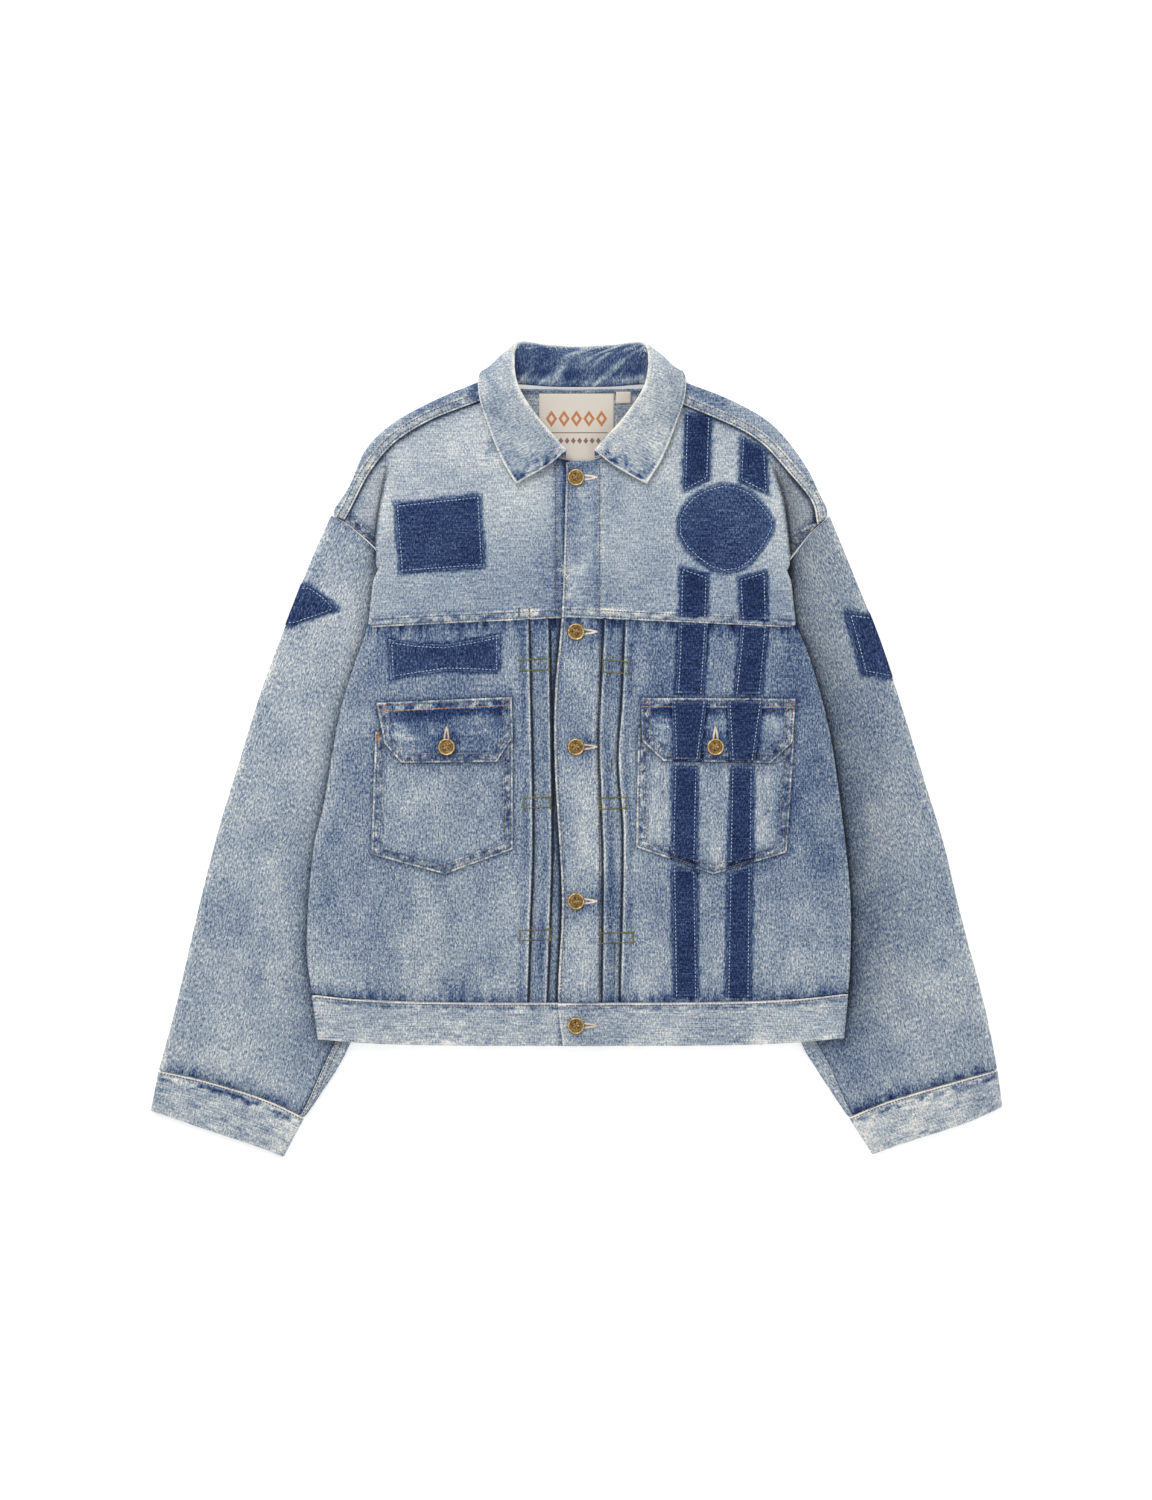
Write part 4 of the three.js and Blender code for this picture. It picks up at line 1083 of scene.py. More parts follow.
def lowerTone(side, x, y, out, pastEdge, gathers, fromTop, fromWaist):
    worn = 0.075 * smooth((out - 60) / 30) if side > 0 else 0.035 * smooth((out - 160) / 50)
    tone = 0.635 - worn + cloudy(x, y, 1.4) + placed(frontPlaces, x, y) + aroundButtons(x, y)
    tone += 0.05 * smooth((-150 - y) / 80) - 0.03 * smooth((y - 20) / 60)
    tone -= (0.22 + 0.16 * gathers) * trail(fromTop, 11)
    tone += 0.14 * np.maximum(gathers, 0) * hump((fromTop - 12) / 16)
    tone -= (0.14 + 0.34 * np.maximum(gathers, 0)) * np.exp(-(np.maximum(fromWaist - 1, 0) / 8) ** 1.5)
    tone -= 0.30 * np.maximum(gathers, 0) * np.exp(-(np.maximum(fromTop - 1, 0) / 11) ** 1.5)
    streaks = warpStreaks(x * 1.5, y * 0.4) + 0.6 * wornSpots(x, y * 0.5)
    tone += 0.15 * streaks * trail(fromWaist - 2, 18)
    tone += 0.13 * streaks * trail(fromTop - 2, 20)
    # worn ridge of each pleat, and the dark crease beside it, with painted shade in the crease
    crease = np.where(pastEdge < 1.7, np.exp(np.minimum(pastEdge - 1.6, 0) / 2.6), 0)
    tone -= 0.30 * crease * (0.85 + 0.4 * edgeNoise(x, y * 0.4))
    paintedShade = 0.85 * bell((pastEdge - 0.6) / 1.5) * (pastEdge < 1.9) + 0.25 * crease
    # painted shade along the seams to the yoke and to the waistband
    paintedShade += 0.45 * trail(fromTop, 2.2) + 0.5 * trail(fromWaist, 1.5)
    tone += (0.28 + 0.12 * edgeNoise(x, y * 0.5)) * hump((pastEdge - 2.9) / 1.6) * (pastEdge < 12)
    tone -= 0.16 * hump((pastEdge - 8) / 6) * (pastEdge < 14) * (0.6 + 0.8 * smallClouds(x, y))
    fromEdge = out - frontEdge[side](y)
    if side == 1:
        tone += 0.26 * hump((fromEdge - 1.0) / 2.0) * (0.8 + 0.5 * wornSpots(x, y)) + 0.10 * (out < 22)
        tone -= 0.05 * hump((fromEdge - 4) / 3)
        shapes = stripsOver("front", "hem")
    else:
        # painted shade: darker tone and shade in the crevice along the edge of the left front
        past = out + frontEdge[1](y)
        tone -= 0.18 * trail(past, 4)
        paintedShade += 0.85 * bell((past - 1.2) / 1.9) + 0.25 * trail(past, 5)
        shapes = [patchShapes["patch_waisted"]]
    tone += patchHalo(x, y, shapes)
    # darker tone and painted shade beside the pocket and the flap
    for outline, depth in ((pocketOutline[side], 0.14), (flapOutline[side], 0.20)):
        away = -signedInside(outline, x, y)
        tone += besideEdge(away, 3.2, depth)
        paintedShade += 3.0 * depth * trail(away, 1.5) * (away > -4)
    # darker cloth between the two pleats, in cloudy patches drawn out lengthwise
    middle = hump((out - (pleatInner[side](y) + pleatOuter[side](y)) / 2) / 9)
    tone -= 0.20 * middle * np.maximum(0, 0.25 + clouds(x * 1.4, y * 0.8))
    return tone, paintedShade


print("making the fronts")
for side in (-1, 1):
    frontYoke(side)
    frontPanel(side)

# ---- back, over the shoulders to the forward seams

backCreases = [((-160, 240), (-40, 120), 26, 0.9), ((150, 230), (30, 90), 26, 0.9),
               ((-200, -40), (-120, -200), 24, 0.8), ((190, -20), (110, -190), 24, 0.8),
               ((-60, 40), (50, -60), 30, 0.6)]


def backSide(side):
    # out of the back panel's side edge at a height: side seam, then armhole
    inset = layers["return"] + layers["sideRadius"] + 0.75 + 2.4

    def seam(y):
        return bodyEdge[side](y) - inset
    below = [(y, float(seam(y))) for y in (70, 50, 20, -40, -100, -180, -250)]
    above = [(y, out - 3.0) for out, y in armhole[side]] + [(91, 170.0), (83, float(seam(83)) - 3)]
    table = np.array(sorted(above + below))
    return lambda y: np.interp(y, table[:, 0], table[:, 1])


def backPanel():
    level = np.concatenate([np.linspace(0, 0.72, 26)[:-1], np.linspace(0.72, 1, 44)])
    wrap = steps(62, 1.7, 0.8, 10)[1:]
    rows = len(level) + len(wrap)
    turnShare = np.concatenate([np.zeros(len(level)), wrap])[:, None]
    level = np.concatenate([level, np.ones(len(wrap))])[:, None]
    share = np.linspace(-1, 1, 201)[None, :]
    x, y, z = (np.zeros((rows, share.shape[1])) for _ in range(3))
    tone = np.zeros_like(x)
    for side in (-1, 1):
        mine = (share[0] < 0) if side < 0 else (share[0] >= 0)
        bend = np.abs(share[:, mine])
        sideAt = backSide(side)
        fold, seam = curve(shoulderFold[side]), curve(shoulderSeam[side])
        neck = 1 - smooth((bend - 0.3) / 0.1)
        along = clamp01((bend - 0.38) / 0.62)
        top = fold(along)
        foldOut, foldY = top[..., 0], top[..., 1]
        radius = mix(layers["shoulderRadius"], layers["headRadius"] + 1.2, smooth((foldOut - 190) / 40))
        inset = radius + 0.75
        edgeY = -243 + 479 * level
        topOut = mix(foldOut, bend * 230, neck)
        topY = mix(foldY - inset, 354 + 4 * bend, neck)
        out = mix(bend * sideAt(edgeY), np.minimum(topOut, sideAt(edgeY)), smooth(level * 3 - 2))
        flatY = mix(waistSeamAt(out) + 0.4, topY, level)
        flatZ = backHeight(side, out, flatY)
        neckY = topY + 6 * turnShare
        atNeck = [topOut + 0 * neckY, neckY, backHeight(side, topOut, neckY)]
        angle = (np.minimum(1, turnShare * 1.5) - 0.5) * math.pi
        turn = [np.minimum(foldOut, sideAt(236.0)) + 0 * angle, foldY - inset + radius * np.cos(angle),
                layers["floor"] + radius + radius * np.sin(angle)]
        front = seam(along)
        frontOut, frontY, _ = np.broadcast_arrays(front[..., 0], front[..., 1], angle)
        lying = [frontOut, frontY, frontHeight(side, frontOut, frontY) + 2.0]
        blend = clamp01(turnShare * 3 - 2)
        wrapped = [mix(mix(t, l, blend), n, neck) for t, l, n in zip(turn, lying, atNeck)]
        isWrap = turnShare > 0
        px, py, pz = (np.where(isWrap, w, f) for w, f in zip(wrapped, (out, flatY, flatZ)))
        # the felled band along the forward seam
        fromSeam = distanceTo(shoulderSeam[side], px, py, closed=False)
        band = isWrap * (1 - neck) * smooth((turnShare - 0.55) / 0.1)
        rise, change = seamBand(fromSeam, side * px, py, 9.5, 0.55)
        x[:, mine], y[:, mine] = side * px, py
        z[:, mine] = pz + 0.7 * rise * band
        worn = change * band + 0.05 * band * smooth((11 - fromSeam) / 2)
        inner = (1 - isWrap) * (np.abs(px) < 62) * (py > 270)
        # painted shade: the inside of the back neck drawn darker, most along the neck seam
        worn = worn - 0.12 * bell((py - 356) / 3) * inner - 0.03 * inner
        worn = worn - 0.10 * isWrap * smooth((fromSeam - 11) / 4) * (1 - neck) * (px < 150)
        worn = worn - 0.30 * hump((px - 100) / 12) * isWrap
        tone[:, mine] = 0.66 + worn
    mostly = creased(backCreases, x, y) * (y < 250) * (z < 3)
    z += np.maximum(mostly, 0)
    tone += cloudy(x, y, 1.2)
    # the inside of the back neck below the collar: paler cloth with painted shade over it, darker above the
    # neck seam and darkest along it
    inner = (np.abs(x) < 66) & (y > 275)
    tone = np.where(inner, 0.76 + 0.05 * smallClouds(x, y * 3) - 0.16 * (y > 353.5), tone)
    shade = np.where(inner, 0.22 + 0.25 * (np.abs(y - 357) < 1.6), 0)
    cloth("back_panel", joined(x, y, z), jacket["wall"], "bands", tone, shade=shade)


# ---- waistband

def waistbandTone(x, y, fromSeam, fromHem):
    tone = 0.735 + cloudy(x, y) + 0.05 * edgeNoise(x * 0.5, y * 2)
    tone += 0.22 * hump((fromSeam - 1.0) / 1.6) - 0.14 * hump((fromSeam - 5.5) / 3) * (0.6 + puckerWide(x, y))
    tone += 0.14 * np.exp(-fromHem / 1.6) + 0.06 * np.exp(-fromHem / 7) * wornSpots(x, y)
    tone -= 0.30 * hump((fromSeam - 5) / 4) * np.maximum(0, puckerFine(x, y * 0.5))
    tone += 0.24 * hump((fromSeam - 8) / 4) * np.maximum(0, wornSpots(x * 0.6, y))
    for at, wide in ((-186, 9), (-130, 14), (-124, 26), (60, 8), (180, 9), (256, 8), (-250, 12)):
        near = bell((x - at) / wide) * bell(fromHem / 9)
        tone += 0.14 * near * (0.6 + wornSpots(x, y))
    worn = np.exp(-((x + 135) / 34) ** 2 - ((y + 275) / 9) ** 2)
    return tone + 0.22 * worn * np.maximum(wornSpots(x, y) + 0.3, 0)


def waistbandFront(side):
    radius, bandLine = layers["sideRadius"] - 0.15, jacket["bandLine"]
    turnSteps = np.concatenate([np.linspace(5, -3.3, 10), np.linspace(-5, -11.5, 5)])
    flat = steps(285, 2.3)
    u = np.concatenate([flat, np.ones(len(turnSteps))])[None, :]
    v = steps(43, 1.8, 0.7, 6)[:, None]
    edgeAt = bodyEdge[side]
    out = mix(frontEdge[side](-270.0), edgeAt(-260) - 6, u) + 0 * v
    for _ in range(3):
        y = mix(hemAt(out), waistSeamAt(out) - 0.3, v)
        out = mix(frontEdge[side](y), edgeAt(y) - 6, u)
    s = np.concatenate([np.full(len(flat), 99.0), turnSteps])[None, :] + 0 * v
    isTurn = s < 50
    over = (0.7 + 0.3 + layers["overlap"]) * smooth((45 - out) / 30) if side == 1 else 0
    z = layers["front"] + layers["frontRise"] * climb(side, out, bandLine) + 0.55 + over
    inset, rise = turned(np.where(isTurn, s, 0), radius, 0, 2.6)
    x = side * np.where(isTurn, edgeAt(y) - inset, out)
    edgeZ = layers["front"] + layers["frontRise"] * climb(side, edgeAt(y) - 6, bandLine) + 0.55
    z = np.where(isTurn, edgeZ - 2 * radius + rise, z)
    fromSeam, fromHem = waistSeamAt(out) - y, y - hemAt(out)
    rope = puckerWide(x * 1.3, y) * bell((fromSeam - 4) / 5)
    z += 0.45 * rope + 0.35 * smallClouds(x * 0.8, y * 2) * (~isTurn)
    z += 0.25 * puckerFine(x, y) * np.exp(-fromHem / 5)
    tone = waistbandTone(x, y, fromSeam, fromHem) + 0.05 * rope
    if side == 1:
        tone += 0.16 * hump((out - frontEdge[1](y) - 1) / 2) - 0.10 * hump((out - 10) / 22)
    else:
        # painted shade: darker tone in the crevice under the edge of the left waistband
        tone -= 0.2 * hump((out - 15) / 5)
    cloth(named(side, "waistband"), joined(x, y, z), jacket["band"], "bands", tone,
          restsOn=["waistband_back"])


def waistbandBack():
    share, v = np.linspace(-1, 1, 120)[None, :], np.linspace(0, 1, 14)[:, None]
    out = np.abs(share) * 250 + 0 * v
    inset = layers["return"] + layers["sideRadius"] + 1.7
    for _ in range(3):
        y = mix(hemAt(out), waistSeamAt(out) - 0.4, v)
        out = np.abs(share) * (np.where(share < 0, bodyEdge[-1](y), bodyEdge[1](y)) - inset)
    z = np.where(share < 0, *(backHeight(side, out, jacket["bandLine"]) for side in (-1, 1))) + 0.55
    x = np.sign(share) * out
    tone = waistbandTone(x, y, waistSeamAt(out) - y, y - hemAt(out)) - 0.05
    cloth("waistband_back", joined(x, y, z), jacket["band"], "bands", tone)


# ---- sleeves and cuffs

sleeveLines = (armhole, cuffSeam, sleeveOuter, sleeveInner)
sleevePlan = {side: span(*(curve(lines[side]) for lines in sleeveLines)) for side in (-1, 1)}

# share across from the outer edge, then share down, of both ends; half width, rise
sleeveCreases = {
    -1: [((0.15, 0.10), (0.60, 0.34), 12, 0.9), ((0.25, 0.42), (0.62, 0.60), 16, 1.0),
         ((0.20, 0.60), (0.52, 0.50), 14, -0.8), ((0.35, 0.72), (0.75, 0.92), 12, 0.9),
         ((0.62, 0.78), (0.55, 0.99), 7, 0.8), ((0.25, 0.88), (0.30, 0.99), 7, 0.7),
         ((0.78, 0.86), (0.72, 0.99), 5, 0.8)],
    1: [((0.18, 0.08), (0.62, 0.26), 12, 0.9), ((0.15, 0.36), (0.55, 0.48), 15, 0.9),
        ((0.30, 0.58), (0.70, 0.66), 15, -0.8), ((0.22, 0.70), (0.60, 0.86), 13, 0.9),
        ((0.40, 0.86), (0.46, 0.99), 7, 0.8), ((0.70, 0.84), (0.74, 0.99), 6, 0.8),
        ((0.18, 0.90), (0.16, 0.99), 6, 0.6)],
}


def sleeveRadiusAt(t):
    return mix(layers["headRadius"], layers["sleeveRadius"], smooth(t * 8))


sleeveQuarter = layers["sleeveRadius"] * math.pi / 2


def sleeveWidth(side, t):
    return np.linalg.norm(sleevePlan[side](0.0, t) - sleevePlan[side](1.0, t), axis=-1)


def sleeveSeamInset(t):
    return mix(15, 5, smooth((t - 0.85) * 6))


def sleevePoint(side, s, t, lift=0.0, fromInner=False):
    width = sleeveWidth(side, t)
    inset, height = turned(s, sleeveRadiusAt(t), lift)
    share = inset / width
    place = sleevePlan[side](1 - share if fromInner else share, t)
    return place[..., 0], place[..., 1], layers["floor"] + height, share


def sleeveFadeAndShade(side, share, t, x, y):
    tone = 0.705 - 0.05 * smooth((t - 0.15) * 4) * (1 - smooth((t - 0.7) * 5)) + cloudy(x, y, 1.2)
    tone = tone - 0.11 * smooth((share - 0.45) * 2.2) + 0.03 * hump((share - 0.3) / 0.3)
    tone += (0.03 if side < 0 else -0.02) * smooth((t - 0.8) * 5)
    if side > 0:
        tone -= 0.03 * smooth((t - 0.2) * 5)
    # beside the body the sleeve is painted in shade, and its dye is drawn less washed out there
    out = side * x
    beside = out - bodyEdge[side](y)
    near, wide, reach = (0.44, 0.52, 34) if side > 0 else (0.46, 0.20, 14)
    deep = smooth((236 - y) / 24) * smooth((y + 320) / 80)
    paintedShade = deep * (near * trail(beside, 4) + wide * trail(beside, reach))
    return tone - 0.16 * paintedShade, paintedShade


def sleeveTop(side):
    long, count = jacket["sleeve"], 58
    v = steps(long, 2.8, 0.95, 12)[:, None]
    u = np.concatenate([np.linspace(0, 1, count)[:-1], 1 + np.linspace(0, 1, 16)])[None, :]
    t = mix(mix(0.006, 0.003, np.minimum(u, 1)), 0.999, v)
    radius = sleeveRadiusAt(t)
    quarter = radius * math.pi / 2
    upper = sleeveWidth(side, t) - sleeveSeamInset(t) + radius * (math.pi / 2 - 1) - 0.75
    wrap = np.clip(u - 1, 0, 1)
    s = np.where(u <= 1, mix(upper, quarter, clamp01(u)), mix(quarter, -quarter - layers["return"], wrap))
    out, y, z, share = sleevePoint(side, s, t)
    x = side * out
    width = sleeveWidth(side, t)
    onTop = smooth(s / 12)
    creases = [((a[0] * 140, a[1] * long), (b[0] * 140, b[1] * long), wide, rise)
               for a, b, wide, rise in sleeveCreases[side]]
    z += creased(creases, share * 140, t * long) * onTop
    across, fromArm, toCuff = share * jacket["cuffWidth"], t * long, (1 - t) * long
    gathers = softNoise(31 + side, 5.5, 60.0)(across, fromArm)
    z += 0.7 * gathers * np.exp(-toCuff / 16) * onTop + 0.35 * gathers * np.exp(-fromArm / 7) * onTop
    tone, paintedShade = sleeveFadeAndShade(side, share, t, x, y)
    # painted shade along the seam to the cuff
    paintedShade += 0.5 * np.exp(-toCuff / 1.5)
    fine = softNoise(35 + side, 3.4, 14.0)(across, fromArm)
    dark = 0.20 + 0.30 * gathers + 0.34 * np.maximum(fine, 0)
    tone -= dark * np.exp(-(np.maximum(toCuff - 1, 0) / 8) ** 1.5)
    tone += 0.14 * np.maximum(gathers, 0) * hump((toCuff - 14) / 16)
    tone -= 0.14 * np.exp(-fromArm / 5)
    tone += 0.14 * hump((s - 3) / 5) * (0.6 + 0.5 * edgeNoise(t * 300, s))
    tone -= (0.20 if side < 0 else 0.02) * hump((upper - s) / 5) * (u < 1)
    away = sleevePatchGap(sleevePatches[side], s, t)
    tone -= 0.40 * (1 - smooth((away + 0.9 * edgeNoise(x, y) - 0.6) / 3.6))
    name = named(side, "sleeve_top")
    grain = joined(side * (share * width), -fromArm)
    cloth(name, joined(x, y, z), jacket["wall"], "sleeve", tone, grain,
          restsOn=[name.replace("top", "under")], shade=paintedShade)


def sleeveUnder(side):
    v, u = np.linspace(0, 1, 90)[:, None], np.linspace(0, 1, 56)[None, :]
    t = mix(mix(0.006, 0.003, u), 0.999, v)
    radius = sleeveRadiusAt(t)
    quarter = radius * math.pi / 2
    width = sleeveWidth(side, t)
    end = width - layers["return"] - 2 * radius - 2.3 + quarter
    top = sleeveSeamInset(t) - radius - 0.75 + quarter - 0.4
    turn, rest = mix(quarter, -quarter, (u - 0.2) / 0.25), mix(-quarter, -end, (u - 0.45) / 0.55)
    s = np.where(u < 0.2, mix(top, quarter, u / 0.2), np.where(u < 0.45, turn, rest))
    out, y, z, share = sleevePoint(side, s, t, 0, True)
    x = side * out
    tone = 0.67 + cloudy(x, y) + (0.16 if side < 0 else 0) * hump((top - s - 1) / 2.5) * (u < 0.2)
    tone = tone - 0.16 * smooth((3 - s) / 3) * (s > -6) + 0.05 * puckerWide(x, y) * (u < 0.2)
    grain = joined(side * (share * width), -t * jacket["sleeve"])
    cloth(named(side, "sleeve_under"), joined(x, y, z), jacket["wall"], "sleeve", tone, grain)


def cuff(side):
    radius = layers["sleeveRadius"]
    near = curve([cuffHem[side][0], cuffSeam[side][0]])
    far = curve([cuffHem[side][-1], cuffSeam[side][-1]])
    plan = span(curve(cuffHem[side]), curve(cuffSeam[side]), near, far)
    deep, wide = jacket["cuff"], jacket["cuffWidth"]
    v = steps(deep, 1.8, 0.7, 6)[:, None]
    t = v - 0.006 * v
    width = np.linalg.norm(plan(0.0, t) - plan(1.0, t), axis=-1)
    quarter = radius * math.pi / 2
    straight = width - 2 * radius - 2.4
    # from the hidden end under the cuff, round the outer edge, over the top and round the inner edge
    parts = [(0, -quarter - (straight - 20), -quarter, 22), (0, -quarter, quarter, 8),
             (0, quarter, quarter + straight, 62), (1, quarter, -quarter, 8), (1, -quarter, -quarter - 19, 8)]
    columns = []
    for fromInner, first, last, count in parts:
        for k in np.linspace(0, 1, count + 1)[(0 if not columns else 1):]:
            columns.append((fromInner, mix(first, last, k)))
    places, tones, weaves = [], [], []
    rope = softNoise(41 + side, 8.0, 4.0)
    for fromInner, s in columns:
        inset, height = turned(s, radius, 0, 2.4)
        share = 1 - inset / width if fromInner else inset / width
        place = plan(share, t)
        x, y = side * place[..., 0], place[..., 1]
        onTop = smooth(s / 6) if not fromInner else smooth((s + 2) / 6)
        fromSeam, fromHem = (1 - t) * deep, t * deep
        pucker = rope(share * wide, fromHem) * onTop
        z = 1.2 + height + 0.5 * pucker * bell((fromSeam - 5) / 7) + 0.3 * pucker
        tone = 0.79 + 0.07 * edgeNoise(share * wide * 0.5, t * 80) + 0.22 * hump((fromSeam - 1.1) / 1.5)
        tick = puckerFine(share * 190, t * 60) * onTop
        tone -= 0.34 * hump((fromSeam - 6.5) / 5) * (0.35 + pucker + 0.9 * tick)
        tone -= 0.12 * np.maximum(pucker, 0)
        tone += 0.24 * hump((fromSeam - 9) / 5) * np.maximum(0, wornSpots(share * 90, t * 60))
        tone += 0.12 * np.exp(-fromHem / 1.5) + cloudy(x, y, 1.3)
        corner = np.exp(-(share / 0.05) ** 2 - (fromHem / 12) ** 2) + bell((share - 0.96) / 0.07) * 0.9
        tone += 0.09 * corner * (0.7 + wornSpots(x, y))
        tone -= 0.3 * (s < -3)
        places.append(joined(x, y, z)[:, 0])
        tones.append(tone[:, 0])
        weaves.append(joined(side * share * wide, fromHem)[:, 0])
    grid, tone, grain = (np.stack(parts, 1) for parts in (places, tones, weaves))
    cloth(named(side, "cuff"), grid, jacket["band"], "bands", tone, grain)


# patches round the outer edge of a sleeve: shares down the sleeve, and how far they reach over the top
sleevePatches = {
    -1: {"node": "patch_sleeve_leaf", "from": 0.13, "to": 0.206, "leaf": True, "skew": 0.0008},
    1: {"node": "patch_sleeve_rectangle", "from": 0.182, "to": 0.3, "leaf": False, "skew": 0.0014},
}


def sleevePatchReach(shape, v):
    if shape["leaf"]:
        return 2 + 36 * (1 - np.abs(2 * clamp01(v) - 1) ** 1.25)
    return mix(19, 25, v)


def sleevePatchGap(shape, s, t):
    # how far outside the patch a place is, about
    v = (t + shape["skew"] * np.maximum(s - sleeveQuarter, 0) - shape["from"]) / (shape["to"] - shape["from"])
    reach = sleevePatchReach(shape, v) + sleeveQuarter
    along = np.maximum(np.maximum(-v, v - 1) * (shape["to"] - shape["from"]) * jacket["sleeve"], 0)
    across = np.maximum(s - reach, 0) * (0.6 if shape["leaf"] else 1.0)
    return np.hypot(along, across)


print("making the back, bands and sleeves")
backPanel()
waistbandBack()
for side in (-1, 1):
    waistbandFront(side)
    sleeveUnder(side)
    sleeveTop(side)
    cuff(side)


# ---- collar

neckCentre = 4
# half of the collar from the centre back to its front end: seam, stand, roll, fall and outer edge
collarLines = [
    [(0, 362.5, 4.6), (32, 363, 4.6), (60, 365, 6), (78, 364, 12), (80, 345, 12), (62, 317, 11),
     (38, 299, 10.5), (14, 291, 11.5)],
    [(0, 394, 11), (32, 395, 11), (60, 396, 13), (72, 382, 18), (69, 357, 18.5), (52, 333, 16),
     (31, 312, 13.5), (14, 297, 13)],
    [(0, 402, 7.5), (32, 404, 8), (62, 405.5, 13), (66, 386, 23), (62, 362, 25), (44, 333, 21),
     (27, 313, 17.5), (14, 298, 16)],
    [(0, 396, 3.4), (34, 398, 3.4), (74, 396, 7.8), (84, 384, 16), (79, 356, 21), (60, 325, 18.5),
     (42, 303, 15.5), (30, 285, 14)],
    [(0, 367, 2.1), (38, 367, 2.1), (78, 377, 3.6), (99, 377, 7.5), (101, 356, 11.5), (91, 322, 10.8),
     (79, 291, 10.5), (64, 265, 10.3)],
]


def collar():
    lines = []
    for half in collarLines:
        left = [(neckCentre + out * 1.04, y, z) for out, y, z in half[1:]]
        right = [(neckCentre - out, y, z) for out, y, z in reversed(half[1:])]
        lines.append(curve([*right, (neckCentre, *half[0][1:]), *left]))
    length, fall = jacket["collar"], jacket["fall"]
    u = steps(length, 2.3, 0.9, 8)
    points = [line(u) for line in lines]
    # down the collar: a share of 0 is the neck seam, 0.5 the roll and 1 the outer edge
    levels = np.concatenate([np.linspace(0, 0.5, 26)[:-1], 0.5 + 0.5 * steps(fall, 1.7, 0.7, 6)])
    pieces = np.minimum(3, (levels * 4).astype(int))
    grid = np.stack([roundSpline(points, at * 4 - i, i) for at, i in zip(levels, pieces)])
    v, run = np.broadcast_arrays(levels[:, None], u[None, :] * length)
    x, y = grid[..., 0], grid[..., 1]
    wrinkle = softNoise(51, 16, 5)(run + 60 * v, 60 * v - run * 0.35)
    diagonal = softNoise(52, 26, 4)(run * 0.8 + v * 90, v * 110 - run * 0.7)
    onStand = 1 - smooth((v - 0.36) / 0.1)
    leaf = smooth((v - 0.55) / 0.08)
    toEdge = (1 - v) * 2 * fall
    toEnd = np.minimum(run, length - run)
    fromRoll = np.abs(v - 0.5) * 110
    grid[..., 2] += 0.8 * diagonal * onStand * smooth(v * 9) + 0.5 * wrinkle * leaf * smooth(toEdge / 6)
    edge = np.minimum(toEdge, toEnd)
    rope = puckerWide(x, y) * bell((edge - 4) / 5) * leaf
    grid[..., 2] += 0.4 * rope
    tone = 0.73 + 0.06 * wrinkle * leaf + cloudy(x, y, 1.1) + 0.03 * smooth(x / 40)
    stand = 0.38 + 0.42 * np.maximum(diagonal, 0) ** 1.2 + 0.09 * smallClouds(x, y) - 0.04 * (x < -20)
    tone = mix(tone, stand, onStand)
    tone += 0.22 * hump((v - 0.045) / 0.05) * onStand * (0.6 + 0.7 * wornSpots(x, y)) * (np.abs(x - 6) < 62)
    tone -= 0.10 * hump((v - 0.10) / 0.05) * onStand
    backRoll = smooth((72 - np.abs(x - neckCentre)) / 8)
    tone += (0.34 * backRoll + 0.06) * bell(fromRoll / 6) * (0.75 + 0.5 * wornSpots(x, y))
    tone += 0.26 * hump((edge - 0.8) / 1.6) * leaf - 0.10 * hump((edge - 3.6) / 1.6) * leaf
    tip = bell(np.hypot(toEnd - 4, toEdge - 4) / 22)
    lowerEnd = bell(toEnd / 11) * leaf
    tone -= 0.55 * lowerEnd * (edge > 1.6) * np.maximum(0, 0.25 + puckerWide(x * 1.2, y * 1.2))
    tone += 0.34 * lowerEnd * np.maximum(wornSpots(x, y), 0) - 0.08 * tip * (edge > 2)
    tone -= 0.08 * hump((toEdge - 20) / 18) * leaf * (x < 0) * smooth((y - 300) / 40)
    cloth("collar", grid, jacket["collarWall"], "collar", tone, joined(run, v * 124),
          restsOn=["back_panel", "left_front_yoke", "right_front_yoke"])


collar()


# ---- pockets and flaps

def lying(name, shape, on, finish, wall, hug, dress, restsOn, coarse=None):
    # a piece lying on others: spanned from an upper to a lower line, pressed down along its edges
    upper, lower = (sampled([np.array(p, float) for p in line]) for line in shape)
    corners = []
    for line in shape:
        runs = np.cumsum([math.dist(a, b) for a, b in zip(line, line[1:])])
        corners.extend(runs[:-1] / runs[-1])
    u = steps(upper.length, coarse, 0.8, 9)
    for corner in corners:
        u[np.argmin(np.abs(u - corner))] = corner
    height = np.linalg.norm(upper(0.5) - lower(0.5))
    v = steps(height, coarse, 0.8, 9)[:, None]
    place = mix(upper(u)[None], lower(u)[None], v[..., None])
    x, y = place[..., 0], place[..., 1]
    inward = distanceTo(outlineOf(shape), x, y)
    lift, tone, paintedShade = dress(x, y, inward)
    z = Skin(on).top(x, y) + wall / 2 + mix(0.02, hug, smooth(inward / 9)) + lift
    # no step of the cloth below shows sharper than this
    for _ in range(2):
        around = (z[:-2, 1:-1] + z[2:, 1:-1] + z[1:-1, :-2] + z[1:-1, 2:]) / 4
        z[1:-1, 1:-1] = np.maximum(z[1:-1, 1:-1], around)
    cloth(name, joined(x, y, z), wall, finish, tone, restsOn=restsOn, shade=paintedShade)


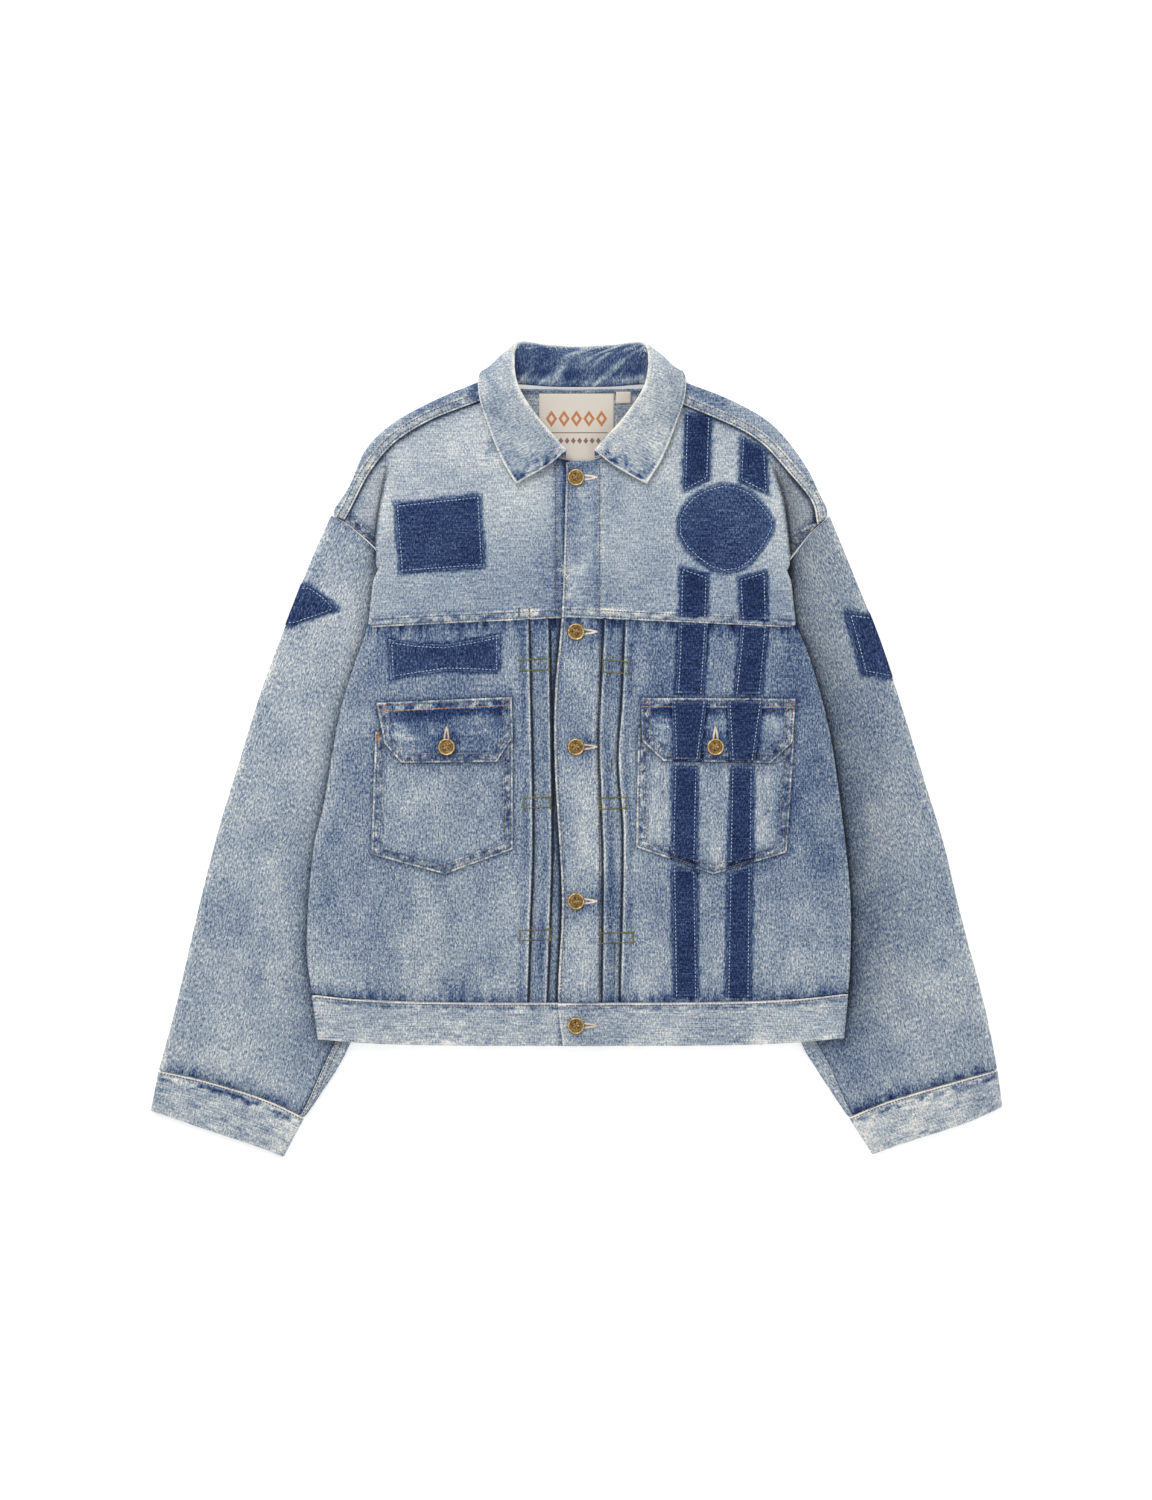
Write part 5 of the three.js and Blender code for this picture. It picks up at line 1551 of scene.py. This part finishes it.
def pocket(side):
    outline = pocketOutline[side]

    def dress(x, y, inward):
        fromOpening = distanceTo(outline, x, y, closed=False)
        rise, tone = seamBand(fromOpening, 1.3 * x, 1.3 * y, 9.0, 0.9, 0.10)
        soft = 0.6 * smallClouds(x * 0.6, y * 0.6) * smooth((fromOpening - 10) / 10)
        tone += (0.645 if side < 0 else 0.62) + cloudy(x, y, 1.5 if side > 0 else 1.2)
        # painted shadow of the flap on the pocket below it, in darker tone and the shade attribute
        below = -signedInside(flapOutline[side], x, y)
        tone -= 0.16 * trail(below, 5)
        paintedShade = 0.50 * trail(below, 3.0)
        tone += 0.06 * np.maximum(0, wornSpots(x, y * 0.4)) * hump((y + 85) / 24)
        if side == 1:
            tone += 0.14 * np.maximum(0, warpStreaks(x, y)) * smooth((fromOpening - 9) / 4)
            tone += patchHalo(x, y, [drawnDown(shape) for shape in stripsOver("pocket")])
        return 0.5 * rise + soft, tone, paintedShade

    panel = named(side, "front_panel")
    lying(named(side, "pocket"), ([outline[0], outline[-1]], outline[1:-1]), [panel], "denim", jacket["wall"],
          0.7, dress, [panel])


def flap(side):
    outline = flapOutline[side]
    pocketName, panel = named(side, "pocket"), named(side, "front_panel")

    def dress(x, y, inward):
        fromTop = distanceTo([outline[0], outline[-1]], x, y, closed=False)
        rise, tone = seamBand(inward, 1.3 * x, 1.3 * y, 9.0, 0.9, 0.06)
        tone += (0.545 if side < 0 else 0.52) + cloudy(x, y, 1.6)
        ragged = fromTop + 5 * smallClouds(x * 0.7, 0 * y) + 2 * wornSpots(x, y)
        inner = smooth((inward - 8.5) / 2)
        tone -= 0.24 * (1 - smooth((ragged - 16) / 3.5)) * smooth((fromTop - 8) / 2) * inner
        button = np.hypot((x - side * flapButtonOut[side]) / 1.0, (y - flapButtonHeight - 7) / 1.3)
        tone -= 0.26 * bell(button / 13)
        tone -= 0.10 * np.maximum(0, smallClouds(x * 1.4, y * 1.4)) * inner
        worn = np.maximum(0, wornSpots(x * 0.4 + y * 0.3, y * 1.2))
        tone += 0.24 * worn * inner * smooth((fromTop - 14) / 8)
        if side == 1:
            tone += patchHalo(x, y, [drawnDown(shape) for shape in stripsOver("flap")])
        return 0.5 * rise + 0.3 * smallClouds(x, y) * inner, tone, 0.0

    shape = ([outline[0], outline[-1]], outline[1:-1])
    lying(named(side, "pocket_flap"), shape, [panel, pocketName], "denim", jacket["wall"], 0.7, dress,
          [pocketName, panel])


print("making pockets and flaps")
for side in (-1, 1):
    pocket(side)
    flap(side)


# ---- patches

def patch(name, shape, on, finish, base=0.215, corner=5.0):
    def dress(x, y, inward):
        tone = base + 0.03 * clouds(x, y) + 0.03 * smallClouds(x, y)
        # the corners wear round and the edge wears pale
        core = shrunk(outlineOf(shape)[::-1], corner)
        rounded = np.where(inside(core, x, y), inward, corner - distanceTo(core, x, y))
        tone += 0.20 * (1 - smooth((rounded + 0.9 * edgeNoise(x, y)) / 2.4))
        tone += 0.22 * smooth((0.2 - rounded) / 1.5)
        across = softNoise(61, 30.0, 2.2)(x, y)
        tone += 0.05 * np.maximum(across - 0.3, 0)
        pull = 0.16 * puckerWide(x * 1.5, y * 1.5) * hump((inward - 4) / 4)
        return pull - 0.25 * hump((inward - 3.2) / 1.4), tone, 0.0
    lying(name, shape, on, finish, jacket["patchWall"], 0.08, dress, on, 2.1)


print("sewing on the patches")
patch("patch_rectangle", patchShapes["patch_rectangle"], ["right_front_yoke"], "patch")
patch("patch_waisted", patchShapes["patch_waisted"], ["right_front_panel"], "patchUpright", 0.235)
patch("patch_barrel", patchShapes["patch_barrel"], ["left_front_yoke"], "patch", 0.24)
stripUnder = {"shoulder": "left_front_yoke", "yoke": "left_front_yoke", "front": "left_front_panel",
              "flap": "left_pocket_flap", "pocket": "left_pocket", "hem": "left_front_panel"}
for stripName, shape in stripShapes.items():
    patch(stripName, shape, [stripUnder[stripName.split("_")[1]]], "patch", 0.155, 2.5)


def sleevePatch(side):
    shape = sleevePatches[side]
    tall = (shape["to"] - shape["from"]) * jacket["sleeve"]
    v = steps(tall, 1.8, 0.8, 5)[:, None]
    u = np.linspace(0, 1, 34)[None, :]
    reach = sleevePatchReach(shape, v)
    s = mix(-0.3 * sleeveQuarter, sleeveQuarter + reach, u ** 0.9)
    t = mix(shape["from"], shape["to"], v) - shape["skew"] * np.maximum(s - sleeveQuarter, 0)
    out, y, z, _ = sleevePoint(side, s, t, jacket["wall"] / 2 + jacket["patchWall"] / 2 + 0.15)
    x = side * out
    sleeve = named(side, "sleeve_top")
    covered = Skin([sleeve]).top(x, y, missing=0.0) + jacket["patchWall"] / 2 + 0.05
    z = np.where(s > sleeveQuarter * 0.9, np.maximum(covered, 0), z)
    inward = np.minimum(np.minimum(v, 1 - v) * tall, sleeveQuarter + reach - s)
    tone = 0.205 + 0.03 * smallClouds(x, y) + 0.14 * (1 - smooth(inward / 1.6))
    grain = joined(s, t * jacket["sleeve"])
    cloth(shape["node"], joined(x, y, z), jacket["patchWall"], "patchUpright", tone, grain,
          restsOn=[sleeve], pointed=shape["leaf"])


for side in (-1, 1):
    sleevePatch(side)


# ---- labels

labels = {"neck_label": (-37, 38, 287, 356, "label"), "size_tag": (40, 55, 346, 358, "tag")}


def neckLabel(name):
    x0, x1, y0, y1, finish = labels[name]
    u, v = np.linspace(0, 1, int((x1 - x0) / 1.5))[None, :], np.linspace(0, 1, int((y1 - y0) / 1.5))[:, None]
    x, y = np.broadcast_arrays(mix(x0, x1, u), mix(y0, y1, v))
    z = Skin(["back_panel"]).top(x, y) + 0.45 + 0.35 * (1 - v) ** 2 + 0.15 * softNoise(71, 16)(x, y)
    grain = joined(x - x0, y - y0)
    cloth(name, joined(x, y, z), 0.5, finish, 0.8, grain, restsOn=["back_panel"])


for labelName in labels:
    neckLabel(labelName)


# ---- buttons

button = {"rim": 7.5, "ring": 4.7, "ribs": 24, "petals": 5, "thick": 2.3, "around": 72}


def buttonMesh(name, node):
    x0, y0 = middleOf(node) - shift[:2]
    under = Skin([n for n in made if not n.startswith(("neck", "size"))])
    ring = np.linspace(0, 2 * math.pi, 12, endpoint=False)
    seat = float(np.median(under.top(x0 + 6 * np.cos(ring), y0 + 6 * np.sin(ring)))) - 0.15
    face = [*np.linspace(0.4, 3.9, 8), *np.linspace(4.3, 6.7, 7), *np.linspace(7.0, 8.2, 5)]
    edge = {8.45: 1.9, 8.6: 1.4, 8.5: 0.8, 8.1: 0.35, 7.0: 0.05, 4.0: 0.0, 0.4: 0.0}  # radius: height
    r = np.array([*face, *edge])
    turn = np.linspace(0, 2 * math.pi, button["around"], endpoint=False)
    rr, tt = np.meshgrid(r, turn, indexing="ij")
    rim = bell((rr - button["rim"]) / 0.62)
    ringRise = bell((rr - button["ring"]) / 0.35)
    ribs = hump((rr - 6.0) / 0.9) * (0.5 + 0.5 * np.cos(button["ribs"] * tt))
    petals = hump((rr - 2.4) / 1.9) * (0.5 + 0.5 * np.cos(button["petals"] * tt + 0.3))
    boss = bell(rr / 1.0)
    relief = 0.75 * rim + 0.32 * ringRise + 0.38 * ribs + 0.42 * petals + 0.4 * boss
    topCount = len(face)
    z = seat + button["thick"] - 0.35 + relief
    z[topCount:] = (seat + np.array(list(edge.values())))[:, None]
    points = np.stack([x0 + rr * np.cos(tt), y0 + rr * np.sin(tt), z], -1).reshape(-1, 3)
    rows, columns = rr.shape
    ids = np.arange(rows * columns).reshape(rows, columns)
    a, b = ids[:-1], ids[1:]
    faces = np.stack([a, b, np.roll(b, -1, 1), np.roll(a, -1, 1)], -1).reshape(-1, 4)
    topPole, lowPole = len(points), len(points) + 1
    points = np.concatenate([points, [[x0, y0, z[0].mean()], [x0, y0, seat]]])
    mesh = bpy.data.meshes.new(name)
    caps = [(int(ids[0, k]), int(ids[0, (k + 1) % columns]), topPole) for k in range(columns)]
    caps += [(int(ids[-1, (k + 1) % columns]), int(ids[-1, k]), lowPole) for k in range(columns)]
    mesh.from_pydata(inMetres(points).tolist(), [], [tuple(map(int, f)) for f in faces] + caps)
    hollow = np.clip(1 - relief / 0.6, 0, 1)
    hollow[topCount:] = 0.4
    layer = mesh.attributes.new("hollow", "FLOAT", "POINT")
    layer.data.foreach_set("value", np.concatenate([hollow.ravel(), [0.1, 0.5]]).astype(np.float32))
    mesh.polygons.foreach_set("use_smooth", np.ones(len(mesh.polygons), bool))
    mesh.materials.append(finishes["brass"])
    brassButton = linked(name, mesh)
    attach(brassButton, "root")
    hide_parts(node)
    return x0, y0


print("making the buttons")
buttonPlaces = {}
buttonNodes = [f"front_button_{k}" for k in range(1, 6)] + ["right_pocket_button", "left_pocket_button"]
for node in buttonNodes:
    buttonPlaces[node] = buttonMesh("brass_" + node, node)


# ---- stitches

sewing = {"seed": 5, "threads": {
    # pitch, stitch length, thread radius, turn from the way of the row
    "brown": (3.2, 2.7, 0.58, 0), "orange": (3.0, 2.6, 0.50, 0), "olive": (2.4, 2.7, 0.78, 0),
    "pale": (3.7, 2.7, 0.50, 0), "ecru": (0.62, 2.4, 0.40, 90), "orangeTack": (0.7, 4.0, 0.36, 90),
    "brownTack": (0.7, 2.2, 0.36, 90),
}}
threadFinish = {"orangeTack": "orange", "brownTack": "brown"}
rows = {thread: [] for thread in sewing["threads"]}
skins = {}


def sew(thread, points, on, lift=0.12):
    # one row of stitches along a line on some pieces
    key = tuple(on)
    if key not in skins:
        skins[key] = Skin(on)
    path = sampled([np.array(p, float)[:2] for p in points])
    share = np.linspace(0, 1, max(3, int(path.length / 1.6)))
    place = path(share)
    z = skins[key].top(place[:, 0], place[:, 1], missing=np.nan)
    good = ~np.isnan(z)
    place, z = place[good], z[good]
    if len(z) < 3:
        return
    cuts = [0, *(np.nonzero(np.abs(np.diff(z)) > 1.6)[0] + 1), len(z)]
    for a, b in zip(cuts, cuts[1:]):
        if b - a > 2:
            rows[thread].append(np.column_stack([place[a:b], z[a:b] + lift]))


def line(function, start, end, flip=1, count=60):
    return [(flip * out, float(function(out))) for out in np.linspace(start, end, count)]


def down(function, top, bottom, flip=1, count=60):
    return [(flip * float(function(y)), y) for y in np.linspace(top, bottom, count)]


def sewFront(side):
    yoke, panel, band = (named(side, what) for what in ("front_yoke", "front_panel", "waistband"))
    start = -9 if side == 1 else 14
    for inset in (2.2, 8.0):
        reach = float(bodyEdge[side](133)) - 4
        sew("brown", line(lambda out: yokeSeamAt(out) - yokes["lap"] + inset, start, reach, side), [yoke])
    if side == 1:
        sew("brown", down(lambda y: 23.6 + 0 * y, 284, 141), [yoke])
        sew("brown", down(lambda y: 23.2 + 0 * y, 130, -249), [panel])
        sew("brown", down(lambda y: frontEdge[1](y) + 2.4, 284, 141), [yoke])
        sew("brown", down(lambda y: frontEdge[1](y) + 2.6, 130, -249), [panel])
    else:
        sew("brown", down(lambda y: 20.5 + 0 * y, 284, 141, -1), [yoke])
    reach = float(bodyEdge[side](-253)) - 4
    sew("brown", line(lambda out: waistSeamAt(out) - 2.4, start, reach, side), [band])
    for inset in (2.2, 7.6):
        moved = shrunk(shoulderSeam[side], inset, closed=False)
        along = curve(moved)(np.linspace(0.04, 1, 60))
        sew("brown", [(side * p[0], p[1]) for p in along], ["back_panel"])
        moved = shrunk(armhole[side][:4], -inset, closed=False)
        around = curve(moved)(np.linspace(0, 1, 40))
        sew("brown", [(side * p[0], p[1]) for p in around if p[0] > bodyEdge[side](p[1]) + 1], [yoke])


def sewPockets(side):
    pocketName, flapName = named(side, "pocket"), named(side, "pocket_flap")
    for inset in (2.6, 8.4):
        sew("brown", shrunk(pocketOutline[side], inset, closed=False), [pocketName])
        inner = shrunk(flapOutline[side], inset)
        sew("brown", inner, [flapName])
    corners = [flapOutline[side][0], flapOutline[side][-1]]
    a, b = np.array(corners[0], float), np.array(corners[1], float)
    sew("brown", [a + (3, -2.8), b + (-3, -2.8)], [flapName])
    sew("orange", [a + (3, -8.6), b + (-3, -8.6)], [flapName])
    for corner, inward in ((a, 1), (b, -1)):
        for past in (2.6, 8.4):
            sew("orange", [corner + (inward * past, -2.4), corner + (inward * past, -9)], [flapName])
        sew("orange", [corner + (inward * 2.6, -2.8), corner + (inward * 8.4, -2.8)], [flapName])
    if side < 0:
        outer = pocketOutline[side][0]
        sew("orangeTack", [(outer[0] + 2.8, 17), (outer[0] + 2.8, 8)], [pocketName])


def onSleeve(side, s, t, fromInner=False):
    out, y, _, _ = sleevePoint(side, np.array(s), np.array(t), 0, fromInner)
    return side * float(out), float(y)


def sewPatches():
    for name, shape in patchShapes.items():
        inner = shrunk(outlineOf(shape)[::-1], 3.2)
        sew("pale", [*inner, inner[0]], [name])
    slanted = {"strip_shoulder_inner": "low", "strip_shoulder_outer": "low", "strip_yoke_inner": "high",
               "strip_yoke_outer": "high"}
    for name, (upper, lower) in stripShapes.items():
        (ax, ay), (bx, by) = upper
        (cx, cy), (dx, dy) = lower
        over = 3.0
        left, right = [(ax + over, ay - 1), (cx + over, cy + 1)], [(bx - over, by - 1), (dx - over, dy + 1)]
        if slanted.get(name) == "low":
            sew("pale", [left[0], (cx + over, cy + over), (dx - over, dy + over), right[0]], [name])
        elif slanted.get(name) == "high":
            sew("pale", [left[1], (ax + over, ay - over), (bx - over, by - over), right[1]], [name])
        else:
            sew("pale", left, [name])
            sew("pale", right, [name])
    inset = 3.2 / jacket["sleeve"]
    for side, shape in sleevePatches.items():
        first, last = shape["from"] + inset, shape["to"] - inset
        points = [onSleeve(side, sleeveQuarter, first)]
        for v in np.linspace(0, 1, 24):
            reach = sleevePatchReach(shape, mix(0.08, 0.92, v)) - 4.5
            t = mix(first, last, v) - shape["skew"] * max(reach, 0)
            points.append(onSleeve(side, sleeveQuarter + reach, t))
        points.append(onSleeve(side, sleeveQuarter, last))
        sew("pale", points, [shape["node"]])


def sewSleeves(side):
    for inset in ((1.8, 6.0) if side < 0 else ()):
        points = []
        for t in np.linspace(0.8, 0.992, 30):
            edge = sleeveSeamInset(t) - layers["sleeveRadius"] - 0.75 + sleeveQuarter - inset
            points.append(onSleeve(side, edge, t, True))
        sew("brown", points, [named(side, "sleeve_under")])
    seam = curve(cuffSeam[side])(np.linspace(0.02, 0.98, 60))
    sew("brown", [(side * p[0], p[1] - 2.6) for p in seam], [named(side, "cuff")])


# pairs of short rows across the pleats: x of both ends, upper and lower height
pleatTacks = [(-56, -27, 90, 79), (-52, -26, -48, -58), (-56, -26, -180, -190),
              (27, 53, 90, 78), (24, 50, -48, -59), (25, 57, -183, -193)]


def sewTacks():
    for x0, x1, upper, lower in pleatTacks:
        panel = ["left_front_panel" if x0 > 0 else "right_front_panel"]
        tilt = -2 if x0 == 27 else 1
        for y in (upper, lower):
            sew("olive", [(x0, y), (x1, y + tilt)], panel, 0.35)
        for x in (x0, x1):
            sew("olive", [(x, upper), (x, lower)], panel, 0.35)
    for x in (-57, -46.5):
        sew("brownTack", [(x, 141.5), (x, 133.5)], ["right_front_yoke"])


def sewButtonholes():
    for k, y in enumerate(buttonHeights):
        on = ["left_front_yoke"] if k == 0 else (["waistband_left"] if k == 4 else ["left_front_panel"])
        if k == 1:
            on = ["left_front_yoke", "left_front_panel"]
        x = buttonPlaces[f"front_button_{k + 1}"][0]
        for lean in (-1, 1):
            edge = [(x + 6.5, y + lean * 2.3), (x + 13, y + lean * 1.7), (x + 18.5, y + lean * 0.7)]
            sew("ecru", edge, on, 0.3)
        sew("ecru", [(x + 18.3, y + 0.2), (x + 21.0, y)], on, 0.4)
    for side in (-1, 1):
        on = [named(side, "pocket_flap")]
        x, y = buttonPlaces[named(side, "pocket_button")]
        for lean in (-1, 1):
            edge = [(x + lean * 2.3, y + 6.5), (x + lean * 1.7, y + 12), (x + lean * 0.6, y + 18)]
            sew("ecru", edge, on, 0.3)
        sew("ecru", [(x, y + 17.5), (x, y + 20)], on, 0.4)


def stitchTree():
    tree = bpy.data.node_groups.new("sewn rows", "GeometryNodeTree")
    face = tree.interface
    face.new_socket(name="Rows", in_out="INPUT", socket_type="NodeSocketGeometry")
    inputs = {}
    lengths = ("Pitch", "Stitch Length", "Thread Radius", "Turn")
    for name, kind in {**dict.fromkeys(lengths, "Float"), "Seed": "Int", "Thread": "Material"}.items():
        inputs[name] = face.new_socket(name=name, in_out="INPUT", socket_type="NodeSocket" + kind).identifier
    face.new_socket(name="Stitches", in_out="OUTPUT", socket_type="NodeSocketGeometry")

    def add(kind, settings=None, sockets=None):
        node = tree.nodes.new(kind)
        for key, value in (settings or {}).items():
            setattr(node, key, value)
        for key, value in (sockets or {}).items():
            if isinstance(value, bpy.types.NodeSocket):
                tree.links.new(value, node.inputs[key])
            else:
                node.inputs[key].default_value = value
        return node

    given = add("NodeGroupInput").outputs
    path = add("GeometryNodeMeshToCurve", None, {"Mesh": given["Rows"]})
    points = add("GeometryNodeCurveToPoints", {"mode": "LENGTH"},
                 {"Curve": path.outputs[0], "Length": given["Pitch"]})
    away = add("ShaderNodeVectorRotate", {"rotation_type": "Z_AXIS"},
               {"Vector": points.outputs["Tangent"], "Angle": given["Turn"]})
    turnTo = add("FunctionNodeAlignRotationToVector", {"axis": "Z"}, {"Vector": away.outputs[0]})
    vary = add("FunctionNodeRandomValue", {"data_type": "FLOAT"},
               {"Min": 0.82, "Max": 1.12, "Seed": given["Seed"]})
    vary = next(o for o in vary.outputs if o.enabled)
    length = add("ShaderNodeMath", {"operation": "MULTIPLY"}, {0: given["Stitch Length"], 1: vary})
    half = add("ShaderNodeMath", {"operation": "MULTIPLY"}, {0: length.outputs[0], 1: 0.5})
    size = add("ShaderNodeCombineXYZ", None, {"X": given["Thread Radius"], "Y": given["Thread Radius"],
                                              "Z": half.outputs[0]})
    bead = add("GeometryNodeMeshUVSphere", None, {"Segments": 6, "Rings": 4, "Radius": 1.0})
    placedOn = add("GeometryNodeInstanceOnPoints", None,
                   {"Points": points.outputs["Points"], "Instance": bead.outputs[0],
                    "Rotation": turnTo.outputs[0], "Scale": size.outputs[0]})
    real = add("GeometryNodeRealizeInstances", None, {"Geometry": placedOn.outputs[0]})
    soft = add("GeometryNodeSetShadeSmooth", None, {"Geometry": real.outputs[0]})
    dyed = add("GeometryNodeSetMaterial", None, {"Geometry": soft.outputs[0], "Material": given["Thread"]})
    add("NodeGroupOutput", None, {0: dyed.outputs[0]})
    return tree, inputs


def sewAll():
    tree, inputs = stitchTree()
    for thread, (pitch, length, radius, turn) in sewing["threads"].items():
        points, edges = [], []
        for row in rows[thread]:
            start = len(points)
            points.extend(inMetres(row).tolist())
            edges.extend((start + k, start + k + 1) for k in range(len(row) - 1))
        mesh = bpy.data.meshes.new("rows")
        mesh.from_pydata(points, edges, [])
        guide = linked("rows", mesh)
        modifier = guide.modifiers.new("sewn rows", "NODES")
        modifier.node_group = tree
        finish = finishes[threadFinish.get(thread, thread)]
        values = {"Pitch": pitch / 1000, "Stitch Length": length / 1000, "Thread Radius": radius / 1000,
                  "Turn": math.radians(turn), "Seed": sewing["seed"], "Thread": finish}
        for key, value in values.items():
            modifier[inputs[key]] = value
        depsgraph = bpy.context.evaluated_depsgraph_get()
        plain = bpy.data.meshes.new_from_object(guide.evaluated_get(depsgraph))
        bpy.data.objects.remove(guide)
        plain.name = "stitches_" + thread
        stitches = linked("stitches_" + thread, plain)
        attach(stitches, "root")
        print(f"{thread}: {len(plain.polygons)} faces")


print("sewing")
for side in (-1, 1):
    sewFront(side)
    sewPockets(side)
    sewSleeves(side)
sewPatches()
sewTacks()
sewButtonholes()
sewAll()


# ---- frayed threads

frays = {"radius": 0.30, "seed": 9}
# x, y, reach across, reach down, threads, most length, pieces
frayPlaces = [
    (-10, 178, 4, 8, 40, 9, ["left_front_yoke", "right_front_yoke"]),
    (-9, 240, 2, 26, 10, 5, ["left_front_yoke"]),
    (-62, 402, 5, 4, 14, 6, ["collar"]),
    (4, 401, 50, 2, 46, 4, ["collar"]), (68, 400, 6, 5, 12, 6, ["collar"]),
    (-12, 298, 10, 4, 16, 5, ["collar"]), (24, 296, 12, 4, 18, 5, ["collar"]),
    (-56, 266, 5, 5, 10, 4, ["collar"]), (72, 268, 7, 5, 10, 4, ["collar"]),
    (-45, 138, 10, 3, 14, 5, ["right_front_yoke"]), (30, 139, 26, 3, 20, 5, ["left_front_yoke"]),
    (-242, 238, 5, 6, 18, 5, ["right_front_yoke", "back_panel"]),
    (250, 238, 6, 7, 18, 5, ["left_front_yoke", "back_panel"]),
    (-186, -290, 8, 3, 10, 5, ["waistband_right"]),
    (-122, -294, 10, 3, 12, 5, ["waistband_right"]), (60, -294, 8, 3, 10, 5, ["waistband_left"]),
    (180, -293, 8, 3, 12, 5, ["waistband_left"]), (-135, -272, 26, 6, 24, 5, ["waistband_right"]),
    (-420, -356, 6, 6, 16, 5, ["right_cuff"]), (422, -352, 6, 6, 16, 5, ["left_cuff"]),
    (-296, -396, 10, 8, 16, 5, ["right_cuff"]), (300, -392, 8, 8, 12, 5, ["left_cuff"]),
    (-262, -286, 5, 6, 8, 5, ["waistband_right"]),
]


def frayedThreads():
    random = np.random.default_rng(frays["seed"])
    points, faces = [], []
    sides, joints = 4, 5
    for x, y, wide, tall, count, longest, on in frayPlaces:
        skin = Skin(on)
        for _ in range(count):
            at = np.array([x + random.normal() * wide * 0.5, y + random.normal() * tall * 0.5])
            heading = random.uniform(0, 2 * math.pi)
            length = longest * random.uniform(0.35, 1)
            path = []
            for joint in range(joints):
                path.append(at.copy())
                heading += random.normal() * 0.5
                at = at + np.array([math.cos(heading), math.sin(heading)]) * length / joints
            path = np.array(path)
            z = skin.top(path[:, 0], path[:, 1], missing=np.nan)
            if np.isnan(z[0]):
                continue
            z = np.where(np.isnan(z), z[0] - 0.4, z) + 0.15
            z += 0.35 * random.random() * np.linspace(0.3, 1, joints)
            path = np.column_stack([path, z])
            run = np.gradient(path, axis=0)
            across = np.cross(run, (0, 0, 1))
            across /= np.maximum(np.linalg.norm(across, axis=1, keepdims=True), 1e-6)
            up = np.cross(across, run)
            up /= np.maximum(np.linalg.norm(up, axis=1, keepdims=True), 1e-6)
            start = len(points)
            for k in range(joints):
                radius = frays["radius"] * (1 - 0.5 * k / joints)
                for corner in range(sides):
                    angle = 2 * math.pi * corner / sides
                    points.append(path[k] + radius * (across[k] * math.cos(angle) + up[k] * math.sin(angle)))
            for k in range(joints - 1):
                for corner in range(sides):
                    a, b = start + k * sides + corner, start + k * sides + (corner + 1) % sides
                    faces.append((a, b, b + sides, a + sides))
            last = start + (joints - 1) * sides
            faces.append(tuple(start + k for k in reversed(range(sides))))
            faces.append(tuple(last + k for k in range(sides)))
    threads = meshObject("frayed_threads", np.array(points), np.array(faces), "fray")
    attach(threads, "root")


frayedThreads()
